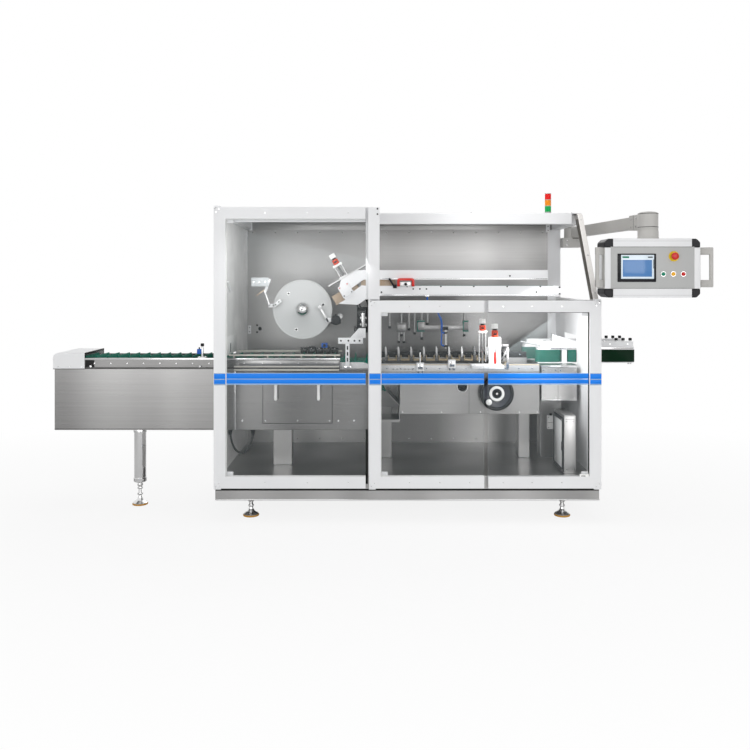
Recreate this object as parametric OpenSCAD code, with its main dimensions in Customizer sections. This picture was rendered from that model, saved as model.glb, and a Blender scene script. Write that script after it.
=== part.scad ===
/* [Main frame] */
// Length of the main frame
frame_l = 2180; // [2100:5:2300]
// Depth of the main frame behind the doors
frame_d = 970; // [930:5:1050]
// Height of the frame's top face above the ground
frame_h = 1772; // [1740:2:1840]
// Width of a frame tube, seen from the front
tube_w = 60; // [50:1:64]
// Depth of a frame tube
tube_d = 40; // [30:1:50]
// Height of a top rail
rail_h = 65; // [50:1:75]
// Thickness of the sheet panels
sheet_t = 3; // [2:0.5:5]
// Width of the back right column that carries the panel arm
column_w = 90; // [80:1:110]
// Left face of the middle post
mid_post_x = 868; // [840:1:890]
// Width of the middle post
mid_post_w = 62; // [56:1:70]
// Set-back of the sloped front's top edge behind the frame's front
slope_in = 357; // [300:1:400]
// Width of the sloped side bar
slope_w = 30; // [20:1:40]
// Depth of the sloped side bar, measured along the ground
slope_d = 80; // [60:1:100]
// Distance of the side panels from the frame's outer faces
side_in = 30; // [20:1:40]
// Width of the slim post between the low doors
slim_w = 18; // [12:1:20]

/* [Base and feet] */
// Height of the base's underside above the ground
foot_h = 110; // [95:1:140]
// Height of the base
base_h = 140; // [125:1:160]
// Radius of a foot pad
pad_r = 43; // [35:1:55]
// Thickness of the rubber under a foot
rubber_t = 8; // [5:1:12]
// Radius of the ball at a foot's top
ball_r = 17; // [14:1:22]
// Radius of a foot's stem
stem_r = 9; // [7:1:12]
// Distance of the feet from the base's ends
foot_in_x = 190; // [120:5:260]
// Distance of the feet from the base's front and back
foot_in_y = 90; // [70:5:150]

/* [Doors] */
// Thickness of a door frame
door_t = 35; // [30:1:38]
// Gap between the closed doors and the frame
door_gap = 8; // [8:1:14]
// Overlap of the closed doors over the base
door_lap = 60; // [40:1:90]
// Width of a door's hinge stile
stile_w = 66; // [55:1:80]
// Height of a door's rails
door_rail = 66; // [50:1:75]
// Thickness of the clear panes
glass_t = 8; // [5:1:12]
// Depth of a pane in its frame
glass_in = 14; // [8:1:20]
// Height of the low doors' top edge above the ground
low_top = 1246; // [1200:2:1290]
// Where the two low doors meet
split_x = 1533; // [1450:1:1600]
// Gap between the two low doors
split_gap = 23; // [18:1:30]
// Gap between the tall door's free edge and the middle post
edge_gap = 14; // [12:1:22]
// Distance of the pivot from a stile's outer edge
pivot_in = 8; // [7:0.5:9]
// Radius of a pivot pin
pin_r = 5; // [4:0.5:6]
// Length of a pivot pin inside its door
pin_l = 24; // [15:1:40]
// Thickness of a pivot's bracket
pivot_t = 8; // [5:1:12]
// Sideways reach of a pivot's bracket
pivot_w = 38; // [30:1:50]

/* [Infeed conveyor] */
// Length of the conveyor outside the frame
infeed_l = 976; // [800:2:1200]
// Front face of the conveyor behind the doors' front
conv_y = 200; // [170:1:210]
// Width of the conveyor
conv_w = 320; // [300:2:325]
// Height of the conveyor body's top above the ground
conv_z = 839; // [825:1:845]
// Height of the conveyor body
conv_h = 359; // [300:1:400]
// Distance of the housing's left end from the frame's left face
house_in = 79; // [65:1:100]
// Width of the belt
belt_w = 220; // [160:2:226]
// Thickness of the belt
belt_t = 6; // [3:0.5:8]
// Height of the belt's top face above the body's top
belt_rise = 41; // [35:1:48]
// Outer radius of the belt round its end drums
belt_r = 112; // [90:1:120]
// Pitch of the belt's flights
flight_p = 63; // [50:1:90]
// Height of a flight above the belt
flight_h = 33; // [18:1:38]
// Thickness of a flight at its foot
flight_t = 12; // [8:1:16]
// Height of the conveyor's side rails
side_rail_h = 64; // [50:1:80]
// Thickness of the conveyor's side rails
side_rail_t = 25; // [18:1:30]
// Reach of the side rails past the frame's left face
rail_in = 701; // [640:1:740]
// Length of the end hood
hood_l = 188; // [150:2:240]
// Height of the end hood
hood_h = 94; // [90:1:110]
// Corner radius of the end hood
hood_r = 30; // [15:1:40]
// Distance of the leg from the conveyor's outer end
leg_in = 456; // [300:2:600]
// Radius of the leg tube
leg_r = 35; // [25:1:45]
// Height of the leg tube's lower end
leg_z = 141; // [120:1:180]
// Distance of the photo sensor from the frame's left face
sensor_out = 110; // [80:1:160]
// Height of the photo sensor
sensor_h = 86; // [60:1:100]

/* [Left bay] */
// Distance of the access panel's left edge from the frame's left face
access_x = 250; // [200:1:280]
// Width of the access panel
access_w = 404; // [340:1:440]
// Height of the access panel
access_h = 248; // [200:1:280]
// Height of the access panel's lower edge above the housing's underside
access_up = 42; // [20:1:60]
// Length of an access handle
handle_l = 100; // [80:1:130]
// Reach of an access handle
handle_out = 32; // [24:1:40]
// Width of the housing's support column
prop_w = 112; // [80:1:130]
// Depth of the support columns
prop_d = 100; // [80:1:120]
// Radius of the reel disc
reel_r = 184; // [140:1:186]
// Thickness of the reel disc
reel_t = 8; // [5:1:12]
// Radius of the reel's hub
hub_r = 40; // [30:1:50]
// Distance of the reel's axis from the frame's left face
reel_x = 460; // [450:2:480]
// Height of the reel's axis above the ground
reel_z = 1181; // [1160:1:1210]
// Front face of the reel disc behind the doors' front
reel_y = 430; // [410:1:500]
// Radius of the reel's spindle
spindle_r = 18; // [12:1:24]

/* [Machine bed] */
// Distance of the bed's left end from the middle post
bed_in = 7; // [4:1:20]
// Width of the recess for the reject chute at the bed's left end
chute_w = 117; // [100:1:140]
// Front face of the bed behind the doors' front
bed_y = 230; // [215:1:240]
// Depth of the bed
bed_d = 400; // [395:1:430]
// Height of the bed's underside above the ground
bed_z = 570; // [560:1:585]
// Height of the bed
bed_h = 243; // [235:1:250]
// Height of the track strips on the bed
track_h = 53; // [40:1:60]
// Thickness of the track strips
track_t = 18; // [12:1:24]
// Distance of the handwheel's axis from the bed's left end
wheel_in = 684; // [640:1:700]
// Height of the handwheel's axis above the bed's underside
wheel_up = 126; // [120:1:132]
// Radius of the handwheel
wheel_r = 101; // [70:1:110]
// Radius of the handwheel's hub
wheel_hub_r = 44; // [34:1:52]
// Radius of the handwheel's shaft
wheel_pin_r = 10; // [8:1:14]
// Distance of the drive opening from the bed's left end
port_in = 487; // [440:1:520]
// Radius of the drive opening
port_r = 29; // [20:1:36]

/* [Carton chain] */
// Pitch of the carton pockets
pocket_p = 80; // [70:1:90]
// Radius of the chain at its ends
chain_r = 60; // [50:1:64]
// Width of the chain
chain_w = 36; // [24:1:44]
// Height of a chain link
link_h = 26; // [20:1:30]
// Radius of a link pin
link_pin_r = 7; // [5:0.5:9]
// Height of a pocket lug above the chain
lug_h = 88; // [60:1:90]
// Width of a pocket lug
lug_w = 60; // [50:1:66]
// Thickness of a pocket lug at its foot
lug_t = 14; // [8:0.5:16]
// Height of a pocket tray
tray_h = 30; // [16:1:40]
// Length of a pocket tray along the chain
tray_l = 54; // [40:1:60]

/* [Carton magazine] */
// Front face of the magazine's side plates behind the doors' front
mag_y = 330; // [310:1:350]
// Clear width between the side plates
mag_w = 190; // [170:1:200]
// Thickness of a side plate
mag_t = 12; // [8:1:16]
// Height of the lower bar's underside above the low doors
mag_up = 20; // [14:1:40]
// Height of the lower bar
mag_low_h = 61; // [50:1:70]
// Height of the slot between the bars
mag_slot = 37; // [30:1:45]
// Height of the upper bar
mag_up_h = 58; // [45:1:65]
// Distance of the lower bar's right end from the frame's right face
mag_end = 150; // [120:1:200]
// Set-back of the upper bar's right end from the lower bar's
mag_step = 78; // [50:1:100]
// Angle of the magazine's head below the level
head_a = 30; // [26:1:33]
// Length of the sloped cover over the head
cover_l = 272; // [250:1:290]
// Thickness of the sloped cover
cover_t = 8; // [5:1:12]

/* [Outfeed] */
// Distance of the outfeed housing's right end from the frame's right face
out_end = 61; // [50:1:80]
// Length of the outfeed housing
out_l = 214; // [190:1:230]
// Gap between the bed and the outfeed housing
out_gap = 26; // [20:1:40]
// Front face of the outfeed housing behind the doors' front
out_y = 300; // [280:1:330]
// Depth of the outfeed housing
out_d = 500; // [470:2:540]
// Height of the outfeed housing's underside above the ground
out_z = 636; // [620:1:680]
// Height of the outfeed housing
out_h = 214; // [200:1:230]
// Length of the short grip belts
grip_l = 160; // [140:1:165]
// Length of the long grip belts
grip_out_l = 420; // [350:2:440]
// Lead of the back grip belts over the front ones
grip_lead = 45; // [20:1:60]
// Gap between a short and a long grip belt
grip_break = 36; // [28:1:44]
// Height of the grip belts
grip_h = 76; // [60:1:90]
// Width of a grip belt's loop
grip_w = 60; // [50:1:70]
// Thickness of a grip belt
grip_t = 4; // [3:0.5:6]
// Clear width between the front and back grip belts
grip_gap = 150; // [120:1:165]
// Height of the rails over the grip belts
grip_rail_h = 50; // [36:1:60]

/* [Electrical box and tower] */
// Width of the electrical box
box_w = 68; // [50:1:80]
// Depth of the electrical box
box_d = 250; // [200:1:280]
// Height of the electrical box
box_h = 334; // [280:1:350]
// Distance of the electrical box's right face from the frame's right face
box_end = 120; // [100:1:150]
// Border of the electrical box's window frame
window_b = 20; // [14:1:28]
// Distance of the signal tower from the frame's right face
tower_end = 182; // [150:1:240]
// Radius of the signal tower
tower_r = 20; // [16:1:26]
// Height of a lens
lens_h = 36; // [28:1:44]
// Height of a ring between lenses
ring_h = 3; // [2:0.5:5]

/* [Control panel] */
// Length of the arm between its two pivots
arm_l = 1055; // [1000:5:1100]
// Angle of the arm from straight forwards
arm_a = 8.5; // [6:0.5:14]
// Height of the arm's section
arm_h = 72; // [60:1:76]
// Width of the arm's section
arm_w = 50; // [40:1:64]
// Radius of the arm's pivot housings
arm_r = 54; // [46:1:58]
// Distance of the arm's underside below the frame's top
arm_drop = 123; // [115:1:130]
// Sideways reach of the arm's bracket
arm_out = 75; // [65:1:90]
// Radius of the arm's pivot pins
arm_pin_r = 25; // [18:1:32]
// Width of the panel box
panel_w = 522; // [480:2:560]
// Height of the panel box
panel_h = 320; // [300:1:330]
// Depth of the panel box
panel_d = 140; // [120:1:160]
// Distance of the panel box's top below the arm's underside
panel_drop = 63; // [55:1:75]
// Width of a corner moulding
corner_w = 48; // [40:1:56]
// Chamfer on a corner moulding
corner_cut = 20; // [12:1:28]
// Sideways reach of the grab handles
grab_out = 56; // [48:1:70]
// Forward reach of the grab handles
grab_front = 36; // [28:1:50]
// Width of a grab handle's grip
grab_w = 20; // [16:1:24]
// Height of a grab handle's arms
grab_h = 40; // [30:1:46]
// Width of the touch screen
screen_w = 209; // [180:1:240]
// Height of the touch screen
screen_h = 154; // [130:1:170]
// Radius of the emergency stop button
stop_r = 20; // [16:1:24]
// Radius of a push button
button_r = 14; // [10:1:16]

/* [Hidden] */
$fn = 48;

// Clearance between pieces that seat on each other
fit = 0.3;
// Radial clearance of a pin in its bore
run = 0.05;
// Overrun of a cutting tool past the face it cuts
past = 1;
// Free space round a piece that moves or passes through an opening
free = 10;

// Levels and depths of the frame
y_f = door_t + door_gap;
y_b = y_f + frame_d;
floor_z = foot_h + base_h;
rail_z = frame_h - rail_h;
roof_z = frame_h + sheet_t;
mid_x1 = mid_post_x + mid_post_w;
wall_y = y_b - tube_d - sheet_t;
panel_in = side_in + sheet_t;
door_z = floor_z - door_lap;
door_c = door_t / 2;

// Machine bed
bed_x = mid_x1 + bed_in;
bed_end = frame_l - out_end - out_l - out_gap;
bed_top = bed_z + bed_h;
bed_back = bed_y + bed_d;
bed_front_x = bed_x + chute_w;
track_z = bed_top + track_h;

// Conveyor levels
conv_c = conv_y + conv_w / 2;
conv_back = conv_y + conv_w;
conv_low = conv_z - conv_h;
rail_top = conv_z + side_rail_h;
chan_w = belt_w + 2 * free;
belt_z = conv_z + belt_rise;
belt_cz = belt_z - belt_r;
chan_z = belt_cz - belt_r - flight_h - free;
hood_over = 9;
x_min = -infeed_l - hood_over;
belt_x0 = -infeed_l + flight_h + 2 * free;
belt_x1 = bed_x - 4;
belt_span = belt_x1 - belt_x0 - 2 * belt_r;

// Chain levels
chain_y = bed_back - 60;
chain_x0 = bed_x + 40;
slot_w = lug_w + 2 * free;
chain_z = track_z - chain_r - link_h / 2 - 12;
chain_reach = chain_r + link_h / 2 + lug_h;
chain_room = bed_end - free - chain_reach - chain_x0;
pocket_n = floor((2 * chain_room + 2 * PI * chain_r) / pocket_p);
chain_span = (pocket_n * pocket_p - 2 * PI * chain_r) / 2;
bed_split = chain_y - slot_w / 2 - 30;

// Magazine levels
mag_z = low_top + mag_up;
slot_z = mag_z + mag_low_h;
up_z = slot_z + mag_slot;
mag_top = up_z + mag_up_h;
mag_back = mag_y + 2 * mag_t + mag_w;
mag_x1 = frame_l - mag_end;

// Outfeed levels
out_x = bed_end + out_gap;
out_top = out_z + out_h;
grip_x = out_x - 4;
grip_z = [out_top + 6, out_top + 6 + grip_h];
grip_y = chain_y - grip_gap / 2 - grip_w;
grip_ys = [grip_y, grip_y + grip_w + grip_gap];
grip_run2 = [grip_x + grip_l + grip_break, grip_out_l];
grip_end = grip_x + grip_l + grip_break + grip_out_l;

// Control panel's place
arm_z = frame_h - arm_drop;
panel_top = arm_z - panel_drop;
panel_z = panel_top - panel_h;
root_x = frame_l + arm_out;
root_y = y_b - arm_r - 2;
hub_x = root_x + arm_l * sin(arm_a);
hub_y = root_y - arm_l * cos(arm_a);
panel_x = [hub_x - panel_w / 2, hub_x + panel_w / 2];
panel_y = [hub_y - panel_d / 2, hub_y + panel_d / 2];

// Middle of the whole machine over the ground
x_max = hub_x + panel_w / 2 + grab_out;
y_min = panel_y[0] - grab_front;
mid_x = (x_min + x_max) / 2;
mid_y = (y_min + y_b) / 2;

// A block between two limits on each axis
module slab(x, y, z) {
    translate([x[0], y[0], z[0]]) cube([x[1] - x[0], y[1] - y[0], z[1] - z[0]]);
}

// A round bar along the depth axis
module bar_y(x, y, z, r) {
    translate([x, y[0], z]) rotate([-90, 0, 0]) cylinder(r = r, h = y[1] - y[0]);
}

// A round bar along the length axis
module bar_x(x, y, z, r) {
    translate([x[0], y, z]) rotate([0, 90, 0]) cylinder(r = r, h = x[1] - x[0]);
}

// A round bar standing upright
module bar_z(x, y, z, r) {
    translate([x, y, z[0]]) cylinder(r = r, h = z[1] - z[0]);
}

// A round bar between two points of the length and height axes
module bar_xz(a, b, y, r) {
    d = b - a;
    translate([a[0], y, a[1]]) rotate([0, 90 - atan2(d[1], d[0]), 0]) cylinder(r = r, h = norm(d));
}

// A flat outline in the length and height axes, as thick as the depth range
module plate_xz(y) {
    translate([0, y[1], 0]) rotate([90, 0, 0]) linear_extrude(y[1] - y[0]) children();
}

// A flat outline in the depth and height axes, as thick as the length range
module plate_yz(x) {
    translate([x[0], 0, 0]) rotate([90, 0, 90]) linear_extrude(x[1] - x[0]) children();
}

// A loop outline: two half circles joined by straight runs
module loop_2d(span, r) {
    translate([0, -r]) square([span, 2 * r]);
    circle(r);
    translate([span, 0]) circle(r);
}

// A flat bar's outline between two points
module strip_2d(a, b, w) {
    d = b - a;
    translate(a) rotate(atan2(d[1], d[0])) translate([0, -w / 2]) square([norm(d), w]);
}

// Point and heading on a loop, by the distance run from the left end of its top run
function loop_at(s, span, r) =
    s < span ? [s, r, 0] :
    s < span + PI * r ? [
        span + r * sin((s - span) / r * 180 / PI),
        r * cos((s - span) / r * 180 / PI),
        -(s - span) / r * 180 / PI
    ] :
    s < 2 * span + PI * r ? [2 * span + PI * r - s, -r, 180] :
    [
        -r * sin((s - 2 * span - PI * r) / r * 180 / PI),
        -r * cos((s - 2 * span - PI * r) / r * 180 / PI),
        180 - (s - 2 * span - PI * r) / r * 180 / PI
    ];

// The places of the feet and of the conveyor's leg
foot_xs = [foot_in_x, frame_l - foot_in_x];
foot_ys = [y_f + foot_in_y, y_b - foot_in_y];
leg_x = -infeed_l + leg_in;

// The turned metal part of a levelling foot, up to a height
module foot_metal(top) {
    rotate_extrude() polygon([
        [0, rubber_t], [pad_r, rubber_t], [pad_r, rubber_t + 5], [pad_r / 2, rubber_t + 18],
        [stem_r + 4, rubber_t + 32], [stem_r, rubber_t + 46], [stem_r, top], [0, top]
    ]);
    translate([0, 0, top - ball_r - 2]) intersection() {
        sphere(ball_r);
        cube([3 * ball_r, 3 * ball_r, 1.8 * ball_r], center = true);
    }
}

module levelling_feet() color("silver") {
    for (x = foot_xs, y = foot_ys) translate([x, y, 0]) foot_metal(foot_h);
}

module foot_rubbers() color("darkorange") {
    for (x = foot_xs, y = foot_ys) translate([x, y, 0]) cylinder(r = pad_r, h = rubber_t);
    translate([leg_x, conv_c, 0]) cylinder(r = pad_r, h = rubber_t);
}

module base_frame() color("silver") {
    slab([0, frame_l], [y_f, y_b], [foot_h, floor_z]);
}

module infeed_leg() color("gainsboro") {
    translate([leg_x, conv_c, 0]) foot_metal(leg_z);
    bar_z(leg_x, conv_c, [leg_z, conv_low], leg_r);
}

// The trough that the belt's lower run hangs in
module belt_channel(x) {
    slab(x, [conv_c - chan_w / 2, conv_c + chan_w / 2], [chan_z, conv_z + past]);
}

module infeed_body() color("silver") difference() {
    slab([-infeed_l, house_in], [conv_y, conv_back], [conv_low, conv_z]);
    belt_channel([-infeed_l + free, house_in + past]);
}

module conveyor_housing() color("silver") difference() {
    slab([house_in, bed_x], [conv_y, conv_back], [conv_low, conv_z]);
    belt_channel([house_in - past, bed_x + past]);
}

// The hood's side outline with one rounded corner
module hood_profile(x, z, r) {
    translate([x[0] + r, z[0]]) square([x[1] - x[0] - r, z[1] - z[0]]);
    translate([x[0], z[0]]) square([r + past, z[1] - z[0] - r]);
    translate([x[0] + r, z[1] - r]) circle(r);
}

module infeed_hood() color("white") difference() {
    hood_x = [x_min, x_min + hood_l];
    plate_xz([conv_y, conv_back]) hood_profile(hood_x, [conv_z, conv_z + hood_h], hood_r);
    plate_xz([conv_y + sheet_t, conv_back - sheet_t])
        hood_profile([hood_x[0] + sheet_t, hood_x[1] + past],
            [conv_z - past, conv_z + hood_h - sheet_t], hood_r - sheet_t);
}

// One side rail: a web with a top lip, a long groove, and a bright cover plate inside the frame
module side_rail() {
    lip_h = side_rail_h / 8;
    web = side_rail_t * 0.44;
    groove = side_rail_h / 8;
    x = [x_min + hood_l + fit, rail_in];
    difference() {
        union() {
            slab(x, [0, web], [conv_z, rail_top]);
            slab(x, [0, side_rail_t], [rail_top - lip_h, rail_top]);
            slab([house_in + 29, rail_in - 6], [-sheet_t, web],
                [conv_z + 2.3 * groove, rail_top - 1.5 * lip_h]);
        }
        slab([x[0] - past, x[1] + past], [-past, web / 2], [conv_z + groove, conv_z + 2 * groove]);
    }
}

module side_rails() color("silver") {
    translate([0, conv_y, 0]) side_rail();
    translate([0, conv_back, 0]) mirror([0, 1, 0]) side_rail();
}

module infeed_belt() color("seagreen") {
    tip = flight_t / 3;
    loop = 2 * belt_span + 2 * PI * belt_r;
    flights = floor(loop / flight_p);
    translate([belt_x0 + belt_r, 0, belt_cz])
        plate_xz([conv_c - belt_w / 2, conv_c + belt_w / 2]) {
            difference() {
                loop_2d(belt_span, belt_r);
                loop_2d(belt_span, belt_r - belt_t);
            }
            for (i = [0:flights - 1]) {
                at = loop_at(i * loop / flights, belt_span, belt_r);
                translate([at[0], at[1]]) rotate(at[2]) polygon([
                    [-flight_t / 2, -belt_t / 2], [flight_t / 2, -belt_t / 2], [flight_t / 2, belt_t / 2],
                    [tip / 2, flight_h], [-tip / 2, flight_h], [-flight_t / 2, belt_t / 2]
                ]);
            }
        }
}

// The slider and end drums inside the belt, on two cross shafts
module belt_bed() color("lightgray") {
    in_r = belt_r - belt_t - fit;
    y = [conv_c - belt_w / 2, conv_c + belt_w / 2];
    translate([belt_x0 + belt_r, 0, belt_cz]) plate_xz(y) loop_2d(belt_span, in_r);
    for (x = [belt_x0 + belt_r, belt_x1 - belt_r])
        bar_y(x, [conv_c - chan_w / 2, conv_c + chan_w / 2], belt_cz, belt_r / 8);
}

module infeed_sensor() color("dimgray") {
    foot_t = 6;
    y = [conv_y + 2, conv_y + side_rail_t];
    translate([-sensor_out, 0, rail_top]) {
        slab([-26, 26], y, [0, foot_t]);
        slab([-4, 6], [y[0] + 4, y[1] - 4], [foot_t - past, sensor_h * 0.7]);
        slab([-30, -3], [y[0] + 2, y[1] - 2], [sensor_h * 0.26, sensor_h * 0.62]);
        bar_z(0, y[0] + 11, [sensor_h * 0.7 - past, sensor_h * 0.8], 5);
        bar_z(0, y[0] + 11, [sensor_h * 0.8 - past, sensor_h], 10);
    }
}

module frame_posts() color("white") {
    front = [y_f, y_f + tube_d];
    back = [y_b - tube_d, y_b];
    tall = [floor_z, rail_z];
    slab([0, tube_w], front, tall);
    slab([0, tube_w], back, tall);
    slab([mid_post_x, mid_x1], front, tall);
    slab([mid_post_x, mid_x1], [0, y_f - fit], [low_top + 6, frame_h]);
    slab([frame_l - tube_w, frame_l], front, [floor_z, low_top]);
    slab([frame_l - column_w, frame_l], back, tall);
    slab([split_x - slim_w / 2, split_x + slim_w / 2], front, [floor_z, low_top - rail_h]);
}

// Slope of the side bar: set-back for each unit of height
slope_k = slope_in / (frame_h - low_top);

module sloped_bar() color("silver") {
    x = [frame_l - 2 - slope_w, frame_l - 2];
    plate_yz(x) polygon([
        [y_f, low_top], [y_f + slope_d, low_top],
        [y_f + slope_in + slope_d, frame_h], [y_f + slope_in + 24, frame_h],
        [y_f + slope_in + 5, frame_h - 6], [y_f + slope_in - 16 * slope_k, frame_h - 16]
    ]);
}

module frame_rails() color("white") {
    z = [rail_z, frame_h];
    y_in = [y_f + tube_d + fit, y_b - tube_d - fit];
    beam_y = y_f + slope_in + 20;
    back_at = y_f + slope_in + slope_d + fit;
    span = [mid_x1 + fit, frame_l - tube_w - fit];
    slab([0, mid_x1], [y_f, y_f + tube_d], z);
    slab([0, tube_w], y_in, z);
    slab([mid_post_x, mid_x1], y_in, z);
    slab([0, frame_l], [y_b - tube_d, y_b], z);
    slab(span, [beam_y, beam_y + tube_w], z);
    slab(span, [y_f, y_f + tube_d], [low_top - rail_h, low_top]);
    plate_yz([frame_l - tube_w, frame_l]) polygon([
        [back_at - rail_h * slope_k, z[0]], [y_in[1], z[0]], [y_in[1], z[1]], [back_at, z[1]]
    ]);
}

module back_wall() color("silver") difference() {
    hole_x = panel_in + 85;
    hole_z = reel_z - 152;
    y = [wall_y, wall_y + sheet_t];
    cut = [y[0] - past, y[1] + past];
    slab([panel_in, frame_l - column_w], y, [floor_z, rail_z]);
    bar_y(hole_x, cut, hole_z, 13);
    for (z = [hole_z - 24, hole_z + 24]) bar_y(hole_x - 20, cut, z, 7);
}

module left_side_panel() color("gainsboro") difference() {
    slab([side_in, panel_in], [y_f + tube_d, wall_y + sheet_t], [floor_z, rail_z]);
    slab([side_in - past, panel_in + past], [conv_y - free, conv_back + free],
        [conv_low - free, rail_top + 2 * hood_h / 2]);
}

module right_side_panel() color("white") difference() {
    x = [frame_l - panel_in, frame_l - side_in];
    slab(x, [y_f + tube_d, y_b - tube_d], [floor_z, low_top]);
    slab([x[0] - past, x[1] + past], [grip_y - 2 * free, grip_ys[1] + grip_w + 2 * free],
        [out_top - free, grip_z[1] + grip_rail_h + 4 * free]);
}

module roof_panel() color("white") {
    slab([0, mid_x1], [y_f, y_b], [frame_h, roof_z]);
    slab([mid_x1 - past, frame_l], [y_f + slope_in + 24, y_b], [frame_h, roof_z]);
}

// A pivot pin with the bracket that carries it, under or over a door
module pivot(x, z, under) {
    z0 = under ? z - fit - pivot_t : z + fit;
    pin_z = under ? [z - fit - past, z + pin_l] : [z - pin_l, z + fit + past];
    slab([x - pivot_in, x - pivot_in + pivot_w], [door_c - pivot_in, y_f - fit], [z0, z0 + pivot_t]);
    bar_z(x, door_c, pin_z, pin_r);
}

left_pivot = pivot_in;
mid_door_x = mid_post_x + 5;
mid_pivot = mid_door_x + pivot_in;
right_pivot = frame_l - pivot_in;

module door_pivots() color("dimgray") {
    pivot(left_pivot, door_z, true);
    pivot(left_pivot, frame_h, false);
    pivot(mid_pivot, door_z, true);
    bar_z(mid_pivot, door_c, [low_top - pin_l, low_top + 6], pin_r);
    translate([right_pivot, 0, 0]) mirror([1, 0, 0]) {
        pivot(0, door_z, true);
        pivot(0, low_top, false);
    }
}

// A three-sided door frame, hinged at its left edge: stile, top rail and bottom rail
module door_frame(w, z) color("white") {
    pane_y = [door_c - glass_t / 2 - fit, door_c + glass_t / 2 + fit];
    clamp_l = stile_w * 0.6;
    clamp_h = door_rail / 3;
    difference() {
        union() {
            slab([0, stile_w], [0, door_t], z);
            for (at = [z[0], z[1] - door_rail]) slab([0, w], [0, door_t], [at, at + door_rail]);
            for (at = [z[0] + door_rail, z[1] - door_rail - clamp_h])
                slab([stile_w, stile_w + clamp_l], [pane_y[1], door_t], [at, at + clamp_h]);
        }
        slab([stile_w - glass_in - fit, w + past], pane_y,
            [z[0] + door_rail - glass_in - fit, z[1] - door_rail + glass_in + fit]);
        for (at = [[z[0] - past, z[0] + pin_l + past], [z[1] - pin_l - past, z[1] + past]])
            bar_z(pivot_in, door_c, at, pin_r + run);
    }
}

module door_glass(w, z) color([0.8, 0.9, 0.95, 0.3]) {
    slab([stile_w - glass_in, w], [door_c - glass_t / 2, door_c + glass_t / 2],
        [z[0] + door_rail - glass_in, z[1] - door_rail + glass_in]);
}

left_door_w = mid_post_x - edge_gap;
mid_door_w = split_x - split_gap / 2 - mid_door_x;
right_door_w = frame_l - split_x - split_gap / 2;
tall_z = [door_z, frame_h];
low_z = [door_z, low_top];

module left_door_frame() door_frame(left_door_w, tall_z);
module left_door_glass() door_glass(left_door_w, tall_z);
module middle_door_frame() translate([mid_door_x, 0, 0]) door_frame(mid_door_w, low_z);
module middle_door_glass() translate([mid_door_x, 0, 0]) door_glass(mid_door_w, low_z);
module right_door_frame() translate([frame_l, 0, 0]) mirror([1, 0, 0]) door_frame(right_door_w, low_z);
module right_door_glass() translate([frame_l, 0, 0]) mirror([1, 0, 0]) door_glass(right_door_w, low_z);

access_z = [conv_low + access_up, conv_low + access_up + access_h];
access_y = conv_y - sheet_t - 1;

module access_panel() color("silver") {
    slab([access_x, access_x + access_w], [access_y, conv_y], access_z);
}

module access_handles() color("white") {
    z = [access_z[1] - 13 - handle_l, access_z[1] - 13];
    for (x = [access_x + access_w * 0.19, access_x + access_w * 0.81]) {
        bar_z(x, access_y - handle_out + 7, z, 7);
        for (at = [z[0] + 10, z[1] - 10]) bar_y(x, [access_y - handle_out + 7, access_y], at, 5);
    }
}

module support_columns() color("silver") {
    prop_x = access_x + 45;
    bed_prop = 70;
    y = [bed_split, bed_split + prop_d];
    slab([prop_x, prop_x + prop_w], [conv_c - prop_d / 2, conv_c + prop_d / 2], [floor_z, conv_low]);
    for (x = [bed_x + 4, bed_end - bed_prop - 4]) slab([x, x + bed_prop], y, [floor_z, bed_z]);
    slab([out_x + 40, out_x + out_l - 40], [chain_y - prop_d / 2, chain_y + prop_d / 2], [floor_z, out_z]);
}

module guide_rails() color("white") {
    bar = [12, 9];
    lift = 11;
    posts = 4;
    x = [panel_in + 12, rail_in];
    for (y = [conv_y + side_rail_t - bar[0], conv_back - side_rail_t]) {
        slab(x, [y, y + bar[0]], [rail_top + lift, rail_top + lift + bar[1]]);
        for (i = [0:posts - 1])
            bar_z(x[0] + 30 + i * (x[1] - x[0] - 60) / (posts - 1), y + bar[0] / 2,
                [rail_top, rail_top + lift + past], 4);
    }
}

wheel_x = bed_x + wheel_in;
wheel_z = bed_z + wheel_up;

module machine_bed() color("silver") difference() {
    union() {
        slab([bed_x, bed_end], [bed_split, bed_back], [bed_z, bed_top]);
        slab([bed_front_x, bed_end], [bed_y, bed_split + past], [bed_z, bed_top]);
    }
    slab([bed_x - past, bed_end + past], [chain_y - slot_w / 2, chain_y + slot_w / 2],
        [chain_z - chain_reach - free, bed_top + past]);
    bar_y(bed_x + port_in, [bed_y - past, bed_y + 40], bed_z + bed_h * 0.66, port_r);
    bar_y(wheel_x, [bed_y - past, bed_y + 40], wheel_z, wheel_pin_r + run);
}

// The two strips along the bed, the front one with a row of setting holes
module chain_track() color("lightgray") {
    hole_r = 4;
    hole_p = 23;
    difference() {
        slab([bed_x, bed_end], [bed_y, bed_y + track_t], [bed_top, track_z]);
        for (k = [0:5])
            bar_y(bed_x + 78 + k * hole_p, [bed_y - past, bed_y + track_t + past],
                bed_top + track_h * 0.4, hole_r);
    }
    slab([bed_x, bed_end], [bed_back - track_t, bed_back], [bed_top, track_z]);
}

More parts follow.
